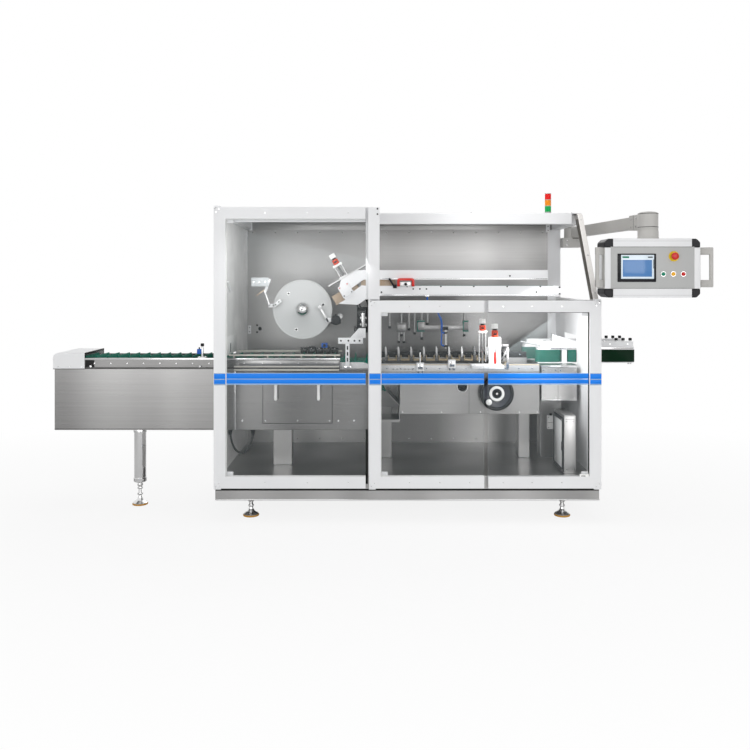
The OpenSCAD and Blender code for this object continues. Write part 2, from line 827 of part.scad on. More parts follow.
// The chain: two loops of link plates tied by a pin at each pocket
module carton_chain() color("gray") {
    plate_t = 5;
    translate([chain_x0, 0, chain_z]) {
        for (y = [chain_y - chain_w / 2, chain_y + chain_w / 2 - plate_t])
            plate_xz([y, y + plate_t]) difference() {
                loop_2d(chain_span, chain_r + link_h / 2);
                loop_2d(chain_span, chain_r - link_h / 2);
                for (i = [0:pocket_n - 1]) {
                    at = loop_at((i + 0.5) * pocket_p, chain_span, chain_r);
                    translate([at[0], at[1]]) rotate(at[2])
                        for (side = [-1, 1]) translate([0, side * link_h * 0.6]) circle(link_h * 0.3);
                }
            }
        for (i = [0:pocket_n - 1]) {
            at = loop_at(i * pocket_p, chain_span, chain_r);
            bar_y(at[0], [chain_y - chain_w / 2, chain_y + chain_w / 2], at[1], link_pin_r);
        }
    }
}

// Places what stands on the chain at a distance along its loop
module on_chain(s) {
    at = loop_at(s, chain_span, chain_r);
    translate([chain_x0 + at[0], 0, chain_z + at[1]]) rotate([0, -at[2], 0]) children();
}

module pocket_lugs() color("lightgray") {
    z = [link_h / 2 + fit, link_h / 2 + lug_h];
    for (i = [0:pocket_n - 1]) on_chain(i * pocket_p)
        plate_xz([chain_y - lug_w / 2, chain_y + lug_w / 2]) polygon([
            [-lug_t / 2, z[0]], [lug_t / 2, z[0]], [lug_t / 2, z[1] * 0.45],
            [lug_t / 4, z[1] - lug_t], [0, z[1]], [-lug_t / 2, z[1]]
        ]);
}

module pocket_trays() color("tan") {
    wall = 4;
    y = [chain_y - lug_w / 2, chain_y + lug_w / 2];
    for (i = [0:pocket_n - 1]) on_chain(((i + 0.5) * pocket_p)) plate_xz(y)
        translate([-tray_l / 2, link_h / 2 + fit]) difference() {
            square([tray_l, tray_h]);
            translate([wall, 2 * wall]) square([tray_l - 2 * wall, tray_h]);
        }
}

// The guide inside the chain's loop, with its two end shafts
module chain_guide() color("dimgray") {
    shaft_r = 15;
    translate([chain_x0, 0, chain_z]) {
        for (x = [0, chain_span])
            bar_y(x, [chain_y - slot_w / 2, chain_y + slot_w / 2], 0, shaft_r);
        plate_xz([chain_y - chain_w / 2 + 6, chain_y + chain_w / 2 - 6])
            loop_2d(chain_span, chain_r - link_pin_r - fit);
    }
}

// The hanging unit over the chain: a beam on two wall arms, rods, a gripper block, a cross bar
// between two clips, and an air cylinder
module pusher_unit() color("lightgray") {
    y = chain_y;
    beam_z = [low_top - 66, low_top - 30];
    low_z = track_z + lug_h + 10;
    bar_top = low_z + 112;
    beam = [bed_x + 48, bed_x + 585];
    slab(beam, [y - 15, y + 15], beam_z);
    for (x = [beam[0] + 60, beam[1] - 100]) slab([x, x + 40], [y + 15 - past, wall_y], beam_z);
    for (rod = [[63, 90], [138, 40], [186, 78], [222, 52], [266, 20], [303, 112], [536, 40]])
        bar_z(bed_x + rod[0], y, [low_z + rod[1], beam_z[0] + past], 6);
    slab([bed_x + 109, bed_x + 167], [y - 18, y + 18], [low_z + 68, low_z + 126]);
    for (x = [bed_x + 122, bed_x + 154]) bar_z(x, y, [low_z, low_z + 70], 5);
    for (x = [[bed_x + 236, bed_x + 284], [bed_x + 526, bed_x + 560]]) difference() {
        slab(x, [y - 22, y + 22], [low_z + 72, low_z + 142]);
        slab([x[0] - past, x[1] + past], [y - 16, y + 16], [low_z + 80, low_z + 134]);
    }
    slab([bed_x + 284 - past, bed_x + 526 + past], [y - 22, y - 8], [bar_top - 28, bar_top]);
    slab([bed_x + 398, bed_x + 430], [y - 60, y - 21], [bar_top - 28, bar_top - 8]);
    bar_z(bed_x + 414, y - 48, [low_z - 22, bar_top - 20], 10);
    bar_z(bed_x + 414, y - 48, [low_z - 34, low_z - 21], 5);
}

// Corners of the magazine's head on its side plates, from the bend leftwards
head_w = mid_post_x - 685;
head_k = tan(head_a);
cover_x0 = mid_post_x - 239;
cover_z0 = mag_top + 38 - (mid_post_x - cover_x0) * head_k;

// Height of the sloped cover's underside at a distance along the machine
function cover_at(x) = cover_z0 + (x - cover_x0) * head_k;

// The side plate's outline: two level bars with a slot between, and the sloped head
module magazine_outline() {
    bend = mid_post_x;
    top_x = cover_x0 + (mag_top - cover_z0) / head_k;
    left = bend - head_w;
    slot_in = 48;
    slot_x = bend - 105;
    drop = (bend - slot_in - slot_x) * head_k;
    difference() {
        union() {
            translate([bend - past, mag_z]) square([mag_x1 - bend + past, mag_low_h]);
            translate([bend - past, up_z]) square([mag_x1 - mag_step - bend + past, mag_up_h]);
            polygon([
                [bend, mag_z - 8], [bend, mag_top], [top_x, mag_top], [left + 16, cover_at(left + 16)],
                [left + 3, mag_z + 41], [left + 46, mag_z - 21], [left, mag_z - 47], [bend - 65, mag_z - 54]
            ]);
        }
        polygon([
            [bend + past, slot_z], [bend + past, up_z], [bend - 28, up_z], [bend - slot_in, up_z - 12],
            [slot_x, up_z - 20 - drop], [slot_x + 16, up_z - 46 - drop + 10], [bend - 42, slot_z + 3]
        ]);
    }
}

module magazine_plates() color("white") {
    for (y = [mag_y, mag_back - mag_t]) plate_xz([y, y + mag_t]) magazine_outline();
    translate([mid_post_x - 178, 0, mag_z + 41]) rotate([0, -head_a, 0])
        slab([0, 68], [mag_y - 6, mag_y + past], [-74, 0]);
}

module magazine_bars() color("lightgray") {
    rod_r = 8;
    z = mag_z + 20;
    y_in = [mag_y + mag_t, mag_back - mag_t];
    arms = [mid_post_x + 150, (mid_post_x + mag_x1) / 2, mag_x1 - 60];
    for (x = concat(mid_post_x + 20, arms)) bar_y(x, y_in, z, rod_r);
    for (x = arms) slab([x - 20, x + 20], [mag_back, wall_y], [z - 16, z + 24]);
    translate([cover_x0, 0, cover_z0]) rotate([0, -head_a, 0])
        slab([0, cover_l], [mag_y - 4, mag_back + 4], [0, cover_t]);
}

// The row of flat cartons: a level run and the sloped run in the head
module carton_stack() color("tan") {
    y = [mag_y + mag_t + 3, mag_back - mag_t - 3];
    low = mag_z + 28;
    bend = mid_post_x - 46;
    slab([bend, mid_post_x + 166], y, [low, up_z + 30]);
    translate([bend, 0, low]) rotate([0, -head_a, 0]) slab([-170, 0], y, [0, 62]);
}

// The carton stop: a bridge handle over the slot, a plate with a knob, and a slanted blade
module magazine_clamp() color("red") {
    x = mid_post_x + 172;
    grip_w = 104;
    grip_h = 50;
    bar = 15;
    plate_xz([mag_y - 30, mag_y]) translate([x, slot_z - 4]) difference() {
        union() {
            translate([bar, 0]) square([grip_w - 2 * bar, grip_h]);
            square([grip_w, grip_h - bar]);
            for (at = [bar, grip_w - bar]) translate([at, grip_h - bar]) circle(bar);
        }
        translate([bar, -past]) square([grip_w - 2 * bar, grip_h - bar + past]);
    }
    slab([x + bar + 2, x + grip_w - bar - 2], [mag_y - 10, mag_y], [slot_z - 4, slot_z + 24]);
    bar_y(x + grip_w / 2, [mag_y - 24, mag_y - 10], slot_z + 10, 8);
    plate_xz([mag_y - 8, mag_y]) strip_2d([x - 48, up_z + 8], [x - 16, slot_z - 6], 12);
}

// A hand adjuster: foot, twin rods and screw, bridge, counter and knob
module adjuster(h, w) {
    head_z = h - 84;
    slab([-w / 2, w / 2], [-14, 14], [0, 8]);
    for (x = [-w * 0.36, w * 0.36]) bar_z(x, 0, [8 - past, head_z + past], 5);
    bar_z(0, 0, [8 - past, head_z + past], 7);
    slab([-w / 2, w / 2], [-14, 14], [head_z, head_z + 14]);
    bar_z(0, 0, [head_z + 13, h - 38], 19);
    bar_z(0, 0, [h - 39, h - 26], 12);
    bar_z(0, 0, [h - 27, h], 20);
}

// The track adjuster: a slotted body with a pointer, on a foot plate over the front track
module track_adjuster() {
    w = 68;
    body_h = 162;
    foot = [-136, 47];
    difference() {
        slab([-w / 2, w / 2], [-14, 14], [0, body_h]);
        slab([-4, 4], [-14 - past, -6], [54, 138]);
    }
    slab([-8, 8], [-18, -14 + past], [8, 76]);
    bar_z(0, 0, [body_h - past, body_h + 34], 20);
    bar_z(0, 0, [body_h + 33, body_h + 48], 12);
    bar_z(0, 0, [body_h + 47, body_h + 78], 21);
    slab(foot, [-40, bed_y - adjust_y], [-18, past]);
    slab([w / 2 - past, w / 2 + 46], [-4, 6], [106, 122]);
    difference() {
        slab([w / 2 + 32, w / 2 + 46], [-14, -4 + past], [-28, 106]);
        bar_y(w / 2 + 39, [-14 - past, 2], 90, 4);
    }
    slab([w / 2 + 40, w / 2 + 45], [-4, 6], [90, 107]);
}

adjust_y = bed_y - 60;
adjust_x = bed_x + 669;

module adjusters() color("white") {
    clamp_y = [bed_y - 26, bed_y];
    translate([adjust_x, adjust_y, track_z]) track_adjuster();
    translate([bed_x + 615, bed_y + 70, bed_top]) adjuster(316, 54);
    translate([cover_x0, (mag_y + mag_back) / 2, cover_z0]) rotate([0, -head_a, 0])
        translate([cover_l * 0.39, 0, cover_t]) adjuster(160, 62);
    slab([bed_x + 215, bed_x + 258], clamp_y, [bed_top + 12, track_z + 8]);
    bar_z(bed_x + 236, bed_y - 13, [track_z + 8 - past, track_z + 84], 5);
    for (x = [bed_x + 224, bed_x + 249]) bar_z(x, bed_y - 13, [bed_top, bed_top + 12 + past], 6);
    slab([bed_x + 401, bed_x + 447], clamp_y, [bed_top + 30, track_z + 26]);
    for (x = [bed_x + 411, bed_x + 437]) bar_z(x, bed_y - 13, [bed_top - 6, bed_top + 30 + past], 6);
}

module reel_spindle() color("silver") {
    flange_r = spindle_r * 2;
    translate([reel_x, 0, reel_z]) {
        bar_y(0, [reel_y + reel_t + fit, wall_y], 0, spindle_r * 1.5);
        bar_y(0, [wall_y - 12, wall_y], 0, flange_r);
        bar_y(0, [reel_y - 24, reel_y + reel_t + fit + past], 0, spindle_r - run);
    }
}

module reel_disc() color("lightgray") translate([reel_x, reel_y, reel_z]) difference() {
    rotate([90, 0, 0]) rotate_extrude() polygon([
        [spindle_r, -reel_t], [reel_r, -reel_t], [reel_r, 0], [hub_r, 0], [hub_r, 14],
        [hub_r * 0.85, 26], [hub_r * 0.55, 36], [hub_r * 0.3, 40], [0, 40], [0, 25], [spindle_r, 25]
    ]);
    for (a = [-131.5, -13, 107.3])
        rotate([0, a, 0]) bar_y(reel_r * 0.706, [-past, reel_t + past], 0, 7);
}

// A handwheel turned about the depth axis: rim, web, hub and shaft, with a crank knob
module handwheel() color("black") translate([wheel_x, bed_y, wheel_z]) {
    rim_r = 11;
    rotate([90, 0, 0]) rotate_extrude() {
        polygon([
            [0, -36], [wheel_pin_r, -36], [wheel_pin_r, 14], [wheel_hub_r - 8, 14], [wheel_hub_r, 20],
            [wheel_hub_r, 26], [wheel_r - rim_r, 34], [wheel_r - rim_r, 42], [wheel_hub_r, 36],
            [wheel_hub_r, 44], [wheel_hub_r - 5, 48], [wheel_hub_r * 0.66, 48], [wheel_hub_r * 0.66, 40],
            [0, 40]
        ]);
        translate([wheel_r - rim_r, 38]) circle(rim_r);
    }
    rotate([0, 138, 0]) translate([wheel_r * 0.68, 0, 0]) {
        bar_y(0, [-62, -34], 0, 7);
        bar_y(0, [-84, -62 + past], 0, 18);
    }
}

// The web's dancer on the left of the reel and the brake arm on its right, each on a wall post
module dancer_arm() color("lightgray") {
    y = [reel_y - 36, reel_y - 28];
    foot = [reel_x - 200, reel_z + 29];
    bend = [reel_x - 227, reel_z + 106];
    head = [reel_x - 198, reel_z + 188];
    bar_y(foot[0], [y[0], wall_y], foot[1], 7);
    plate_xz(y) {
        strip_2d(foot + [-6, -6], foot + [30, -4], 22);
        strip_2d(foot + [24, -10], foot + [70, 28], 20);
        strip_2d(bend, head, 16);
        strip_2d(bend + [-2, 16], bend + [-54, -22], 5);
    }
    bar_xz(foot, bend, y[0] + 4, 6);
    slab([head[0] - 112, head[0] - 8], [y[0] - 10, y[1] + 14], [head[1] - 46, head[1] + 8]);
    knob = [reel_x + 208, reel_z - 64];
    bar_y(knob[0], [y[0], wall_y], knob[1], 7);
    bar_y(knob[0], [y[0] - 24, y[0] + past], knob[1], 24);
    for (a = [90, 210, 330])
        bar_y(knob[0] + 24 * cos(a), [y[0] - 20, y[0]], knob[1] + 24 * sin(a), 8);
    plate_xz([y[0], y[1]]) {
        strip_2d(knob, knob + [-62, 2], 26);
        strip_2d(knob + [-44, -18], knob + [-96, 76], 12);
    }
    bar_y(knob[0] - 98, [y[0] - 22, y[1]], knob[1] + 78, 11);
}

label_x = mid_post_x - 178;

// The label head: a slotted post, a flange with a gusset, and a row of sensor blocks behind it
module label_head() color("white") {
    y = [conv_y + 12, conv_y + 24];
    z = rail_top + 83;
    x = label_x;
    difference() {
        slab([x + 43, x + 67], y, [conv_z, z + past]);
        for (at = [0.3, 0.55, 0.8])
            slab([x + 51, x + 59], [y[0] - past, y[1] + past], [conv_z + at * 140, conv_z + at * 140 + 22]);
    }
    slab([x + 36, x + 78], [y[0] - 6, y[1] + 6], [conv_z, conv_z + 16]);
    difference() {
        slab([x, x + 146], y, [z, z + 35]);
        for (at = [16, 60, 96, 126]) bar_y(x + at, [y[0] - past, y[1] + past], z + 18, 4);
    }
    plate_xz(y) polygon([
        [x + 70, z + 35 - past], [x + 146, z + 35 - past], [x + 162, z + 35], [x + 162, z + 92],
        [x + 122, z + 92]
    ]);
    slab([x + 136, x + 160], [y[0], y[1] + 120], [z + 92 - past, z + 190]);
    bar_z(x + 148, y[1] + 40, [z + 40, z + 92], 7);
    slab([x - 190, x - 20], [conv_back - side_rail_t - 30, conv_back], [rail_top + 20, rail_top + 66]);
    for (at = [x - 170, x - 50])
        slab([at, at + 16], [conv_back - 12, conv_back], [rail_top, rail_top + 20 + past]);
    slab([x - 68, x - 34], [conv_back - side_rail_t - 40, conv_back - 20],
        [rail_top + 66 - past, rail_top + 102]);
}

// The reject tray in the bed's recess: floor, lip, right wall, and a sloped plate over it
module reject_chute() color("silver") {
    x = [bed_x + 4, bed_front_x];
    y = [bed_y - 10, bed_split];
    low = bed_z - 47;
    slab(x, y, [low, low + sheet_t]);
    slab(x, [y[0], y[0] + sheet_t], [low, low + 15]);
    slab([x[1] - sheet_t, x[1]], y, [low, bed_z + 50]);
    plate_xz(y) strip_2d([x[1] - 1, bed_z + 49], [x[1] - 70, bed_z + 122], sheet_t);
}

module outfeed_housing() color("silver") {
    slab([out_x, out_x + out_l], [out_y, out_y + out_d], [out_z, out_top]);
}

// The two belts of the front or back side: start and length of each
function grip_runs(k) = [[grip_x - k * grip_lead, grip_l + k * grip_lead], grip_run2];

module grip_belts() color("seagreen") {
    r = grip_w / 2;
    for (k = [0, 1], at = grip_runs(k))
        translate([at[0] + r, grip_ys[k] + r, grip_z[0]]) linear_extrude(grip_h) difference() {
            loop_2d(at[1] - grip_w, r);
            loop_2d(at[1] - grip_w, r - grip_t);
        }
}

// Upper and lower rails of the grip belts, tied by the belts' rollers
module grip_rails() color("white") {
    r = grip_w / 2 - grip_t - fit;
    for (k = [0, 1]) {
        y = grip_ys[k];
        x = [grip_x - k * grip_lead + 12, grip_end - 12];
        slab(x, [y - 4, y + grip_w + 4], [grip_z[1] + fit, grip_z[1] + grip_rail_h / 3]);
        slab([x[0] + 20, x[1]], [y + 10, y + grip_w - 10],
            [grip_z[1] + grip_rail_h / 3 - past, grip_z[1] + grip_rail_h]);
        slab(x, [y + 2, y + grip_w - 2], [out_top, grip_z[0] - fit]);
        for (at = grip_runs(k), x_at = [at[0] + grip_w / 2, at[0] + at[1] - grip_w / 2])
            bar_z(x_at, y + grip_w / 2, [grip_z[0] - past, grip_z[1] + past], r);
    }
}

box_x = [frame_l - box_end - box_w, frame_l - box_end];
box_y = [y_f + tube_d + free, y_f + tube_d + free + box_d];

module electrical_box() color("silver") {
    slab(box_x, box_y, [floor_z, floor_z + box_h]);
}

module window_frame() color("black") {
    t = 8;
    y = [box_y[0] + 6, box_y[1] - 6];
    z = [floor_z + 6, floor_z + box_h - 16];
    difference() {
        slab([box_x[0] - t, box_x[0]], y, z);
        slab([box_x[0] - t - past, box_x[0] + past], [y[0] + window_b, y[1] - window_b],
            [z[0] + window_b, z[1] - window_b]);
    }
}

tower_x = frame_l - tower_end;
tower_y = y_f + slope_in + slope_d + 60;
tower_foot = 16;

module signal_tower() color("dimgray") {
    translate([tower_x, tower_y, roof_z]) {
        cylinder(r = tower_r + 6, h = tower_foot / 2);
        cylinder(r = tower_r, h = tower_foot);
        cylinder(r = tower_r * 0.4, h = tower_foot + 3 * (lens_h + ring_h));
        for (i = [1:3]) translate([0, 0, tower_foot + i * (lens_h + ring_h) - ring_h])
            cylinder(r = tower_r, h = ring_h);
    }
}

module signal_lenses() color("red") {
    for (i = [0:2]) translate([tower_x, tower_y, roof_z + tower_foot + i * (lens_h + ring_h)])
        difference() {
            cylinder(r = tower_r, h = lens_h);
            translate([0, 0, -past]) cylinder(r = tower_r * 0.4 + run, h = lens_h + 2 * past);
        }
}

module arm_bracket() color("lightgray") {
    z = [arm_z - 64, arm_z - fit];
    slab([frame_l, root_x], [root_y - arm_r, root_y + arm_r], z);
    bar_z(root_x, root_y, z, arm_r);
    bar_z(root_x, root_y, [z[1] - past, arm_z + arm_h - 10], arm_pin_r);
}

module panel_arm() color("lightgray") difference() {
    cap = 8;
    elbow = 6;
    union() {
        bar_z(root_x, root_y, [arm_z, arm_z + arm_h], arm_r);
        translate([root_x, root_y, arm_z]) rotate([0, 0, arm_a])
            union() {
                translate([-arm_w / 2, -arm_l, 2]) cube([arm_w, arm_l, arm_h - 4]);
                translate([-arm_w / 2 - elbow, arm_pin_r + 12 - arm_l, -elbow])
                    cube([arm_w + 2 * elbow, 2.3 * arm_r, arm_h + 2 * elbow]);
            }
        bar_z(hub_x, hub_y, [arm_z - cap, arm_z + arm_h + cap], arm_r);
    }
    bar_z(root_x, root_y, [arm_z - past, arm_z + arm_h - 9], arm_pin_r + run);
    bar_z(hub_x, hub_y, [arm_z - cap - past, arm_z + arm_h - 9], arm_pin_r + run);
}

corner_xs = [panel_x[0], panel_x[1] - corner_w];
corner_zs = [panel_z, panel_top - corner_w];
panel_c = panel_z + panel_h / 2;

// The panel's outline without its corners, as deep as the box, its neck, and a grab handle on each side
module panel_box() color("silver") {
    neck = arm_z - 8 - fit;
    arms = [panel_z + corner_w + 8, panel_top - corner_w - grab_h];
    plate_xz(panel_y) difference() {
        translate([panel_x[0], panel_z]) square([panel_w, panel_h]);
        for (x = [corner_xs[0] - past, corner_xs[1]], z = [corner_zs[0] - past, corner_zs[1]])
            translate([x, z]) square(corner_w + past);
    }
    bar_z(hub_x, hub_y, [panel_top - past, neck], arm_r);
    bar_z(hub_x, hub_y, [neck - past, arm_z + arm_h - 10], arm_pin_r);
    for (side = [-1, 1]) {
        x_in = hub_x + side * (panel_w / 2 - past);
        x_out = hub_x + side * (panel_w / 2 + grab_out);
        x_grip = x_out - side * grab_w;
        y_out = panel_y[0] - grab_front;
        for (z = arms) translate([0, 0, z]) linear_extrude(grab_h) polygon([
            [x_in, y_out + 44], [x_in, y_out + 80], [x_out, y_out + grab_w], [x_out, y_out], [x_grip, y_out]
        ]);
        slab([min(x_grip, x_out), max(x_grip, x_out)], [y_out, y_out + grab_w], [arms[0], arms[1] + grab_h]);
    }
}

// Corner mouldings with a chamfer on their outer corner
module panel_corners() color("black") {
    for (sx = [-1, 1], sz = [-1, 1]) {
        x = hub_x + sx * panel_w / 2;
        z = panel_c + sz * panel_h / 2;
        plate_xz(panel_y) polygon([
            [x, z - sz * corner_w], [x, z - sz * corner_cut], [x - sx * corner_cut, z],
            [x - sx * corner_w, z], [x - sx * corner_w, z - sz * corner_w]
        ]);
    }
}

module panel_controls() color("black") {
    y = panel_y[0];
    stop_out = grab_front - 4;
    screen = [hub_x - panel_w * 0.365, panel_z + panel_h * 0.264];
    slab([screen[0], screen[0] + screen_w], [y - 6, y], [screen[1], screen[1] + screen_h]);
    translate([hub_x + panel_w * 0.22, y, panel_z + panel_h * 0.7]) {
        bar_y(0, [-6, 0], 0, stop_r * 1.4);
        bar_y(0, [14 - stop_out, -6 + past], 0, stop_r * 0.7);
        bar_y(0, [-stop_out, 14 - stop_out + past], 0, stop_r);
    }
    for (i = [-1:1])
        bar_y(hub_x + panel_w * (0.213 + i * 0.104), [y - 14, y], panel_z + panel_h * 0.4, button_r);
}

// The cable's run under the conveyor: ends and lowest guides of a smooth bend
cable_y = conv_y + 40;
cable_r = 6;
cable_n = 36;
cable_k = 10;
cable_x0 = house_in - 30;
cable_x1 = house_in + 105;
cable_drop = 190;
cable_p = [
    [cable_x0, conv_low], [cable_x0, conv_low - cable_drop],
    [cable_x1, conv_low - cable_drop], [cable_x1, conv_low]
];

function cable_at(t) = pow(1 - t, 3) * cable_p[0] + 3 * t * pow(1 - t, 2) * cable_p[1]
    + 3 * t * t * (1 - t) * cable_p[2] + pow(t, 3) * cable_p[3];
function cable_dir(t) = pow(1 - t, 2) * (cable_p[1] - cable_p[0])
    + 2 * t * (1 - t) * (cable_p[2] - cable_p[1]) + t * t * (cable_p[3] - cable_p[2]);

module cable() color("black") {
    points = [for (i = [0:cable_n], j = [0:cable_k - 1])
        let (at = cable_at(i / cable_n), along = cable_dir(i / cable_n),
            out = [along[1], -along[0]] / norm(along), a = 360 * j / cable_k)
        [at[0] + cable_r * cos(a) * out[0], cable_y + cable_r * sin(a), at[1] + cable_r * cos(a) * out[1]]
    ];
    sides = [for (i = [0:cable_n - 1], j = [0:cable_k - 1])
        let (k = (j + 1) % cable_k, a = i * cable_k, b = a + cable_k)
        [a + j, a + k, b + k, b + j]
    ];
    ends = [
        [for (j = [0:cable_k - 1]) cable_k - 1 - j],
        [for (j = [0:cable_k - 1]) cable_n * cable_k + j]
    ];
    polyhedron(points, concat(sides, ends));
}

// Stands the machine over the middle of its own footprint
module place() translate([-mid_x, -mid_y, 0]) children();

place() base_frame();
place() levelling_feet();
place() foot_rubbers();
place() infeed_leg();
place() infeed_body();
place() infeed_hood();
place() side_rails();
place() infeed_belt();
place() belt_bed();
place() infeed_sensor();
place() frame_posts();
place() frame_rails();
place() sloped_bar();
place() door_pivots();
place() back_wall();
place() left_side_panel();
place() right_side_panel();
place() roof_panel();
place() conveyor_housing();
place() access_panel();
place() access_handles();
place() support_columns();
place() guide_rails();
place() machine_bed();
place() chain_track();
place() carton_chain();
place() pocket_lugs();
place() pocket_trays();
place() chain_guide();
place() pusher_unit();
place() magazine_plates();
place() magazine_bars();
place() carton_stack();
place() magazine_clamp();
place() adjusters();
place() reel_spindle();
place() dancer_arm();
place() label_head();
place() reject_chute();
place() outfeed_housing();
place() grip_belts();
place() grip_rails();
place() electrical_box();
place() window_frame();
place() signal_tower();
place() signal_lenses();
place() arm_bracket();
place() left_door_frame();
place() left_door_glass();
place() middle_door_frame();
place() middle_door_glass();
place() right_door_frame();
place() right_door_glass();
place() reel_disc();
place() handwheel();
place() panel_arm();
place() panel_box();
place() panel_corners();
place() panel_controls();
place() cable();
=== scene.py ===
import math
from itertools import product

import bmesh
import bpy
from mathutils import Matrix, Vector


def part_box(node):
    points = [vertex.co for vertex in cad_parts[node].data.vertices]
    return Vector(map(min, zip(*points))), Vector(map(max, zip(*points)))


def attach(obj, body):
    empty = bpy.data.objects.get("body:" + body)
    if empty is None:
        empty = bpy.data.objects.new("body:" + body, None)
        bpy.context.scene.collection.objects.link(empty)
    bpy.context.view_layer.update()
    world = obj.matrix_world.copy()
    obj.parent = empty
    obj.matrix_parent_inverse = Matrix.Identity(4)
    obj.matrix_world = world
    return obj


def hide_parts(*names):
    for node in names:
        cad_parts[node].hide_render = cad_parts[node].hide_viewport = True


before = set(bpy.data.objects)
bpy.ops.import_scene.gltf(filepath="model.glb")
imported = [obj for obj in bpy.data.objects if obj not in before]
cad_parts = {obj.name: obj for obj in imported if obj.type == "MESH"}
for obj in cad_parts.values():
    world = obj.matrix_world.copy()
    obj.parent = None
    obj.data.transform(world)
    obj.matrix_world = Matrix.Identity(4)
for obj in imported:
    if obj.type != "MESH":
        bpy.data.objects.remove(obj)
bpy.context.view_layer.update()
scene = bpy.context.scene
scene.view_settings.view_transform = "Standard"

# Drawing units: millimetres from the main frame's left end, the doors' front and the ground
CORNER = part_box("base_frame")[0] - Vector((0, 0.043, 0.110))
PLACE = Matrix.Translation(CORNER) @ Matrix.Scale(0.001, 4)
LEFT, RIGHT, FRONT, BACK, DOWN, UP = (-1, 0, 0), (1, 0, 0), (0, -1, 0), (0, 1, 0), (0, 0, -1), (0, 0, 1)


def metres(x, y, z):
    return PLACE @ Vector((x, y, z))


# Camera: eye level and distance worked out from the machine's own perspective
EYE_X, EYE_AWAY, EYE_HEIGHT = 907, 4400, 1356
EYE_PIXEL = 281
PICTURE = 750
FOCAL_PIXELS = 783
SENSOR = 36

lens = bpy.data.cameras.new("camera")
lens.sensor_width = SENSOR
lens.lens = SENSOR * FOCAL_PIXELS / PICTURE
lens.shift_y = (EYE_PIXEL - PICTURE / 2) / PICTURE
camera = bpy.data.objects.new("camera", lens)
camera.location = metres(EYE_X, -EYE_AWAY, EYE_HEIGHT)
camera.rotation_euler = (math.pi / 2, 0, 0)
scene.collection.objects.link(camera)
scene.camera = camera


class Shade:
    """One socket of a node tree. Sums and products of it add their own nodes."""

    def __init__(self, nodes, socket):
        self.nodes, self.socket = nodes, socket

    def _maths(self, operation, other):
        return self.nodes.node("Math", {"operation": operation}, {0: self, 1: other})

    def __add__(self, other):
        return self._maths("ADD", other)

    def __sub__(self, other):
        return self._maths("SUBTRACT", other)

    def __mul__(self, other):
        return self._maths("MULTIPLY", other)


class Nodes:
    """Shader nodes of one tree, fed by plain values or by other nodes."""

    def __init__(self, tree):
        self.tree = tree

    def node(self, kind, settings=None, sockets=None, out=0):
        made = self.tree.nodes.new("ShaderNode" + kind)
        for key, value in (settings or {}).items():
            setattr(made, key, value)
        for key, value in (sockets or {}).items():
            self.join(value, made.inputs[key])
        return Shade(self, made.outputs[out])

    def join(self, value, socket):
        if isinstance(value, Shade):
            self.tree.links.new(value.socket, socket)
        else:
            socket.default_value = value

    def span(self, value, low, high, start=0.0, end=1.0):
        return self.node("MapRange", {}, {"Value": value, "From Min": start, "From Max": end,
                                          "To Min": low, "To Max": high})


class Finish(Nodes):
    """A surface finish made of shader nodes on object coordinates."""

    def __init__(self, name, **fixed):
        self.material = bpy.data.materials.new(name)
        self.material.use_nodes = True
        super().__init__(self.material.node_tree)
        self.surface = self.tree.nodes["Principled BSDF"]
        self.feed(**fixed)

    def feed(self, **sockets):
        for name, value in sockets.items():
            self.join(value, self.surface.inputs[name.replace("_", " ")])
        return self

    def place(self):
        return self.node("TexCoord", out="Object")

    def stretched(self, scale):
        return self.node("Mapping", {}, {"Vector": self.place(), "Scale": scale})

    def grain(self, scale, detail):
        return self.node("TexNoise", {}, {"Vector": self.stretched(scale), "Scale": 1.0, "Detail": detail})

    def wave(self, direction, size, distortion=0.0):
        return self.node("TexWave", {"bands_direction": direction},
                         {"Vector": self.place(), "Scale": size, "Distortion": distortion})

    def mix(self, amount, a, b):
        return self.node("Mix", {"data_type": "RGBA"}, {0: amount, 6: a, 7: b}, out=2)

    def bump(self, height, depth):
        return self.node("Bump", {}, {"Height": height, "Distance": depth, "Strength": 1.0})


def grey(level, warm=0.0):
    return (level * (1 + warm), level, level * (1 - warm), 1)


def toned(colour, times, plus=0.0):
    return (*(min(1, c * times + plus) for c in colour[:3]), 1)


# Sizes of the finishes: grain across and along the brushing, upright bands of painted reflection, the usual reach of
# noise, the back wall's darker stretch of painted shade behind the pusher
ALONG_X, UPRIGHT = (False, True, True), (True, True, False)
FINE, BROAD = (3, 700), (1.2, 150)
REFLECTION_BANDS = (3.0, 3.0, 0.2)
MID = (0.3, 0.7)
SHEEN, BELT_SHEEN, BOARD_SHEEN = 0.2, 0.06, 0.25
SHADE_AT, SHADE_FLAT, SHADE_REACH, SHADE_TOP = 0.26, 0.2, 0.55, (1.1, 1.3)


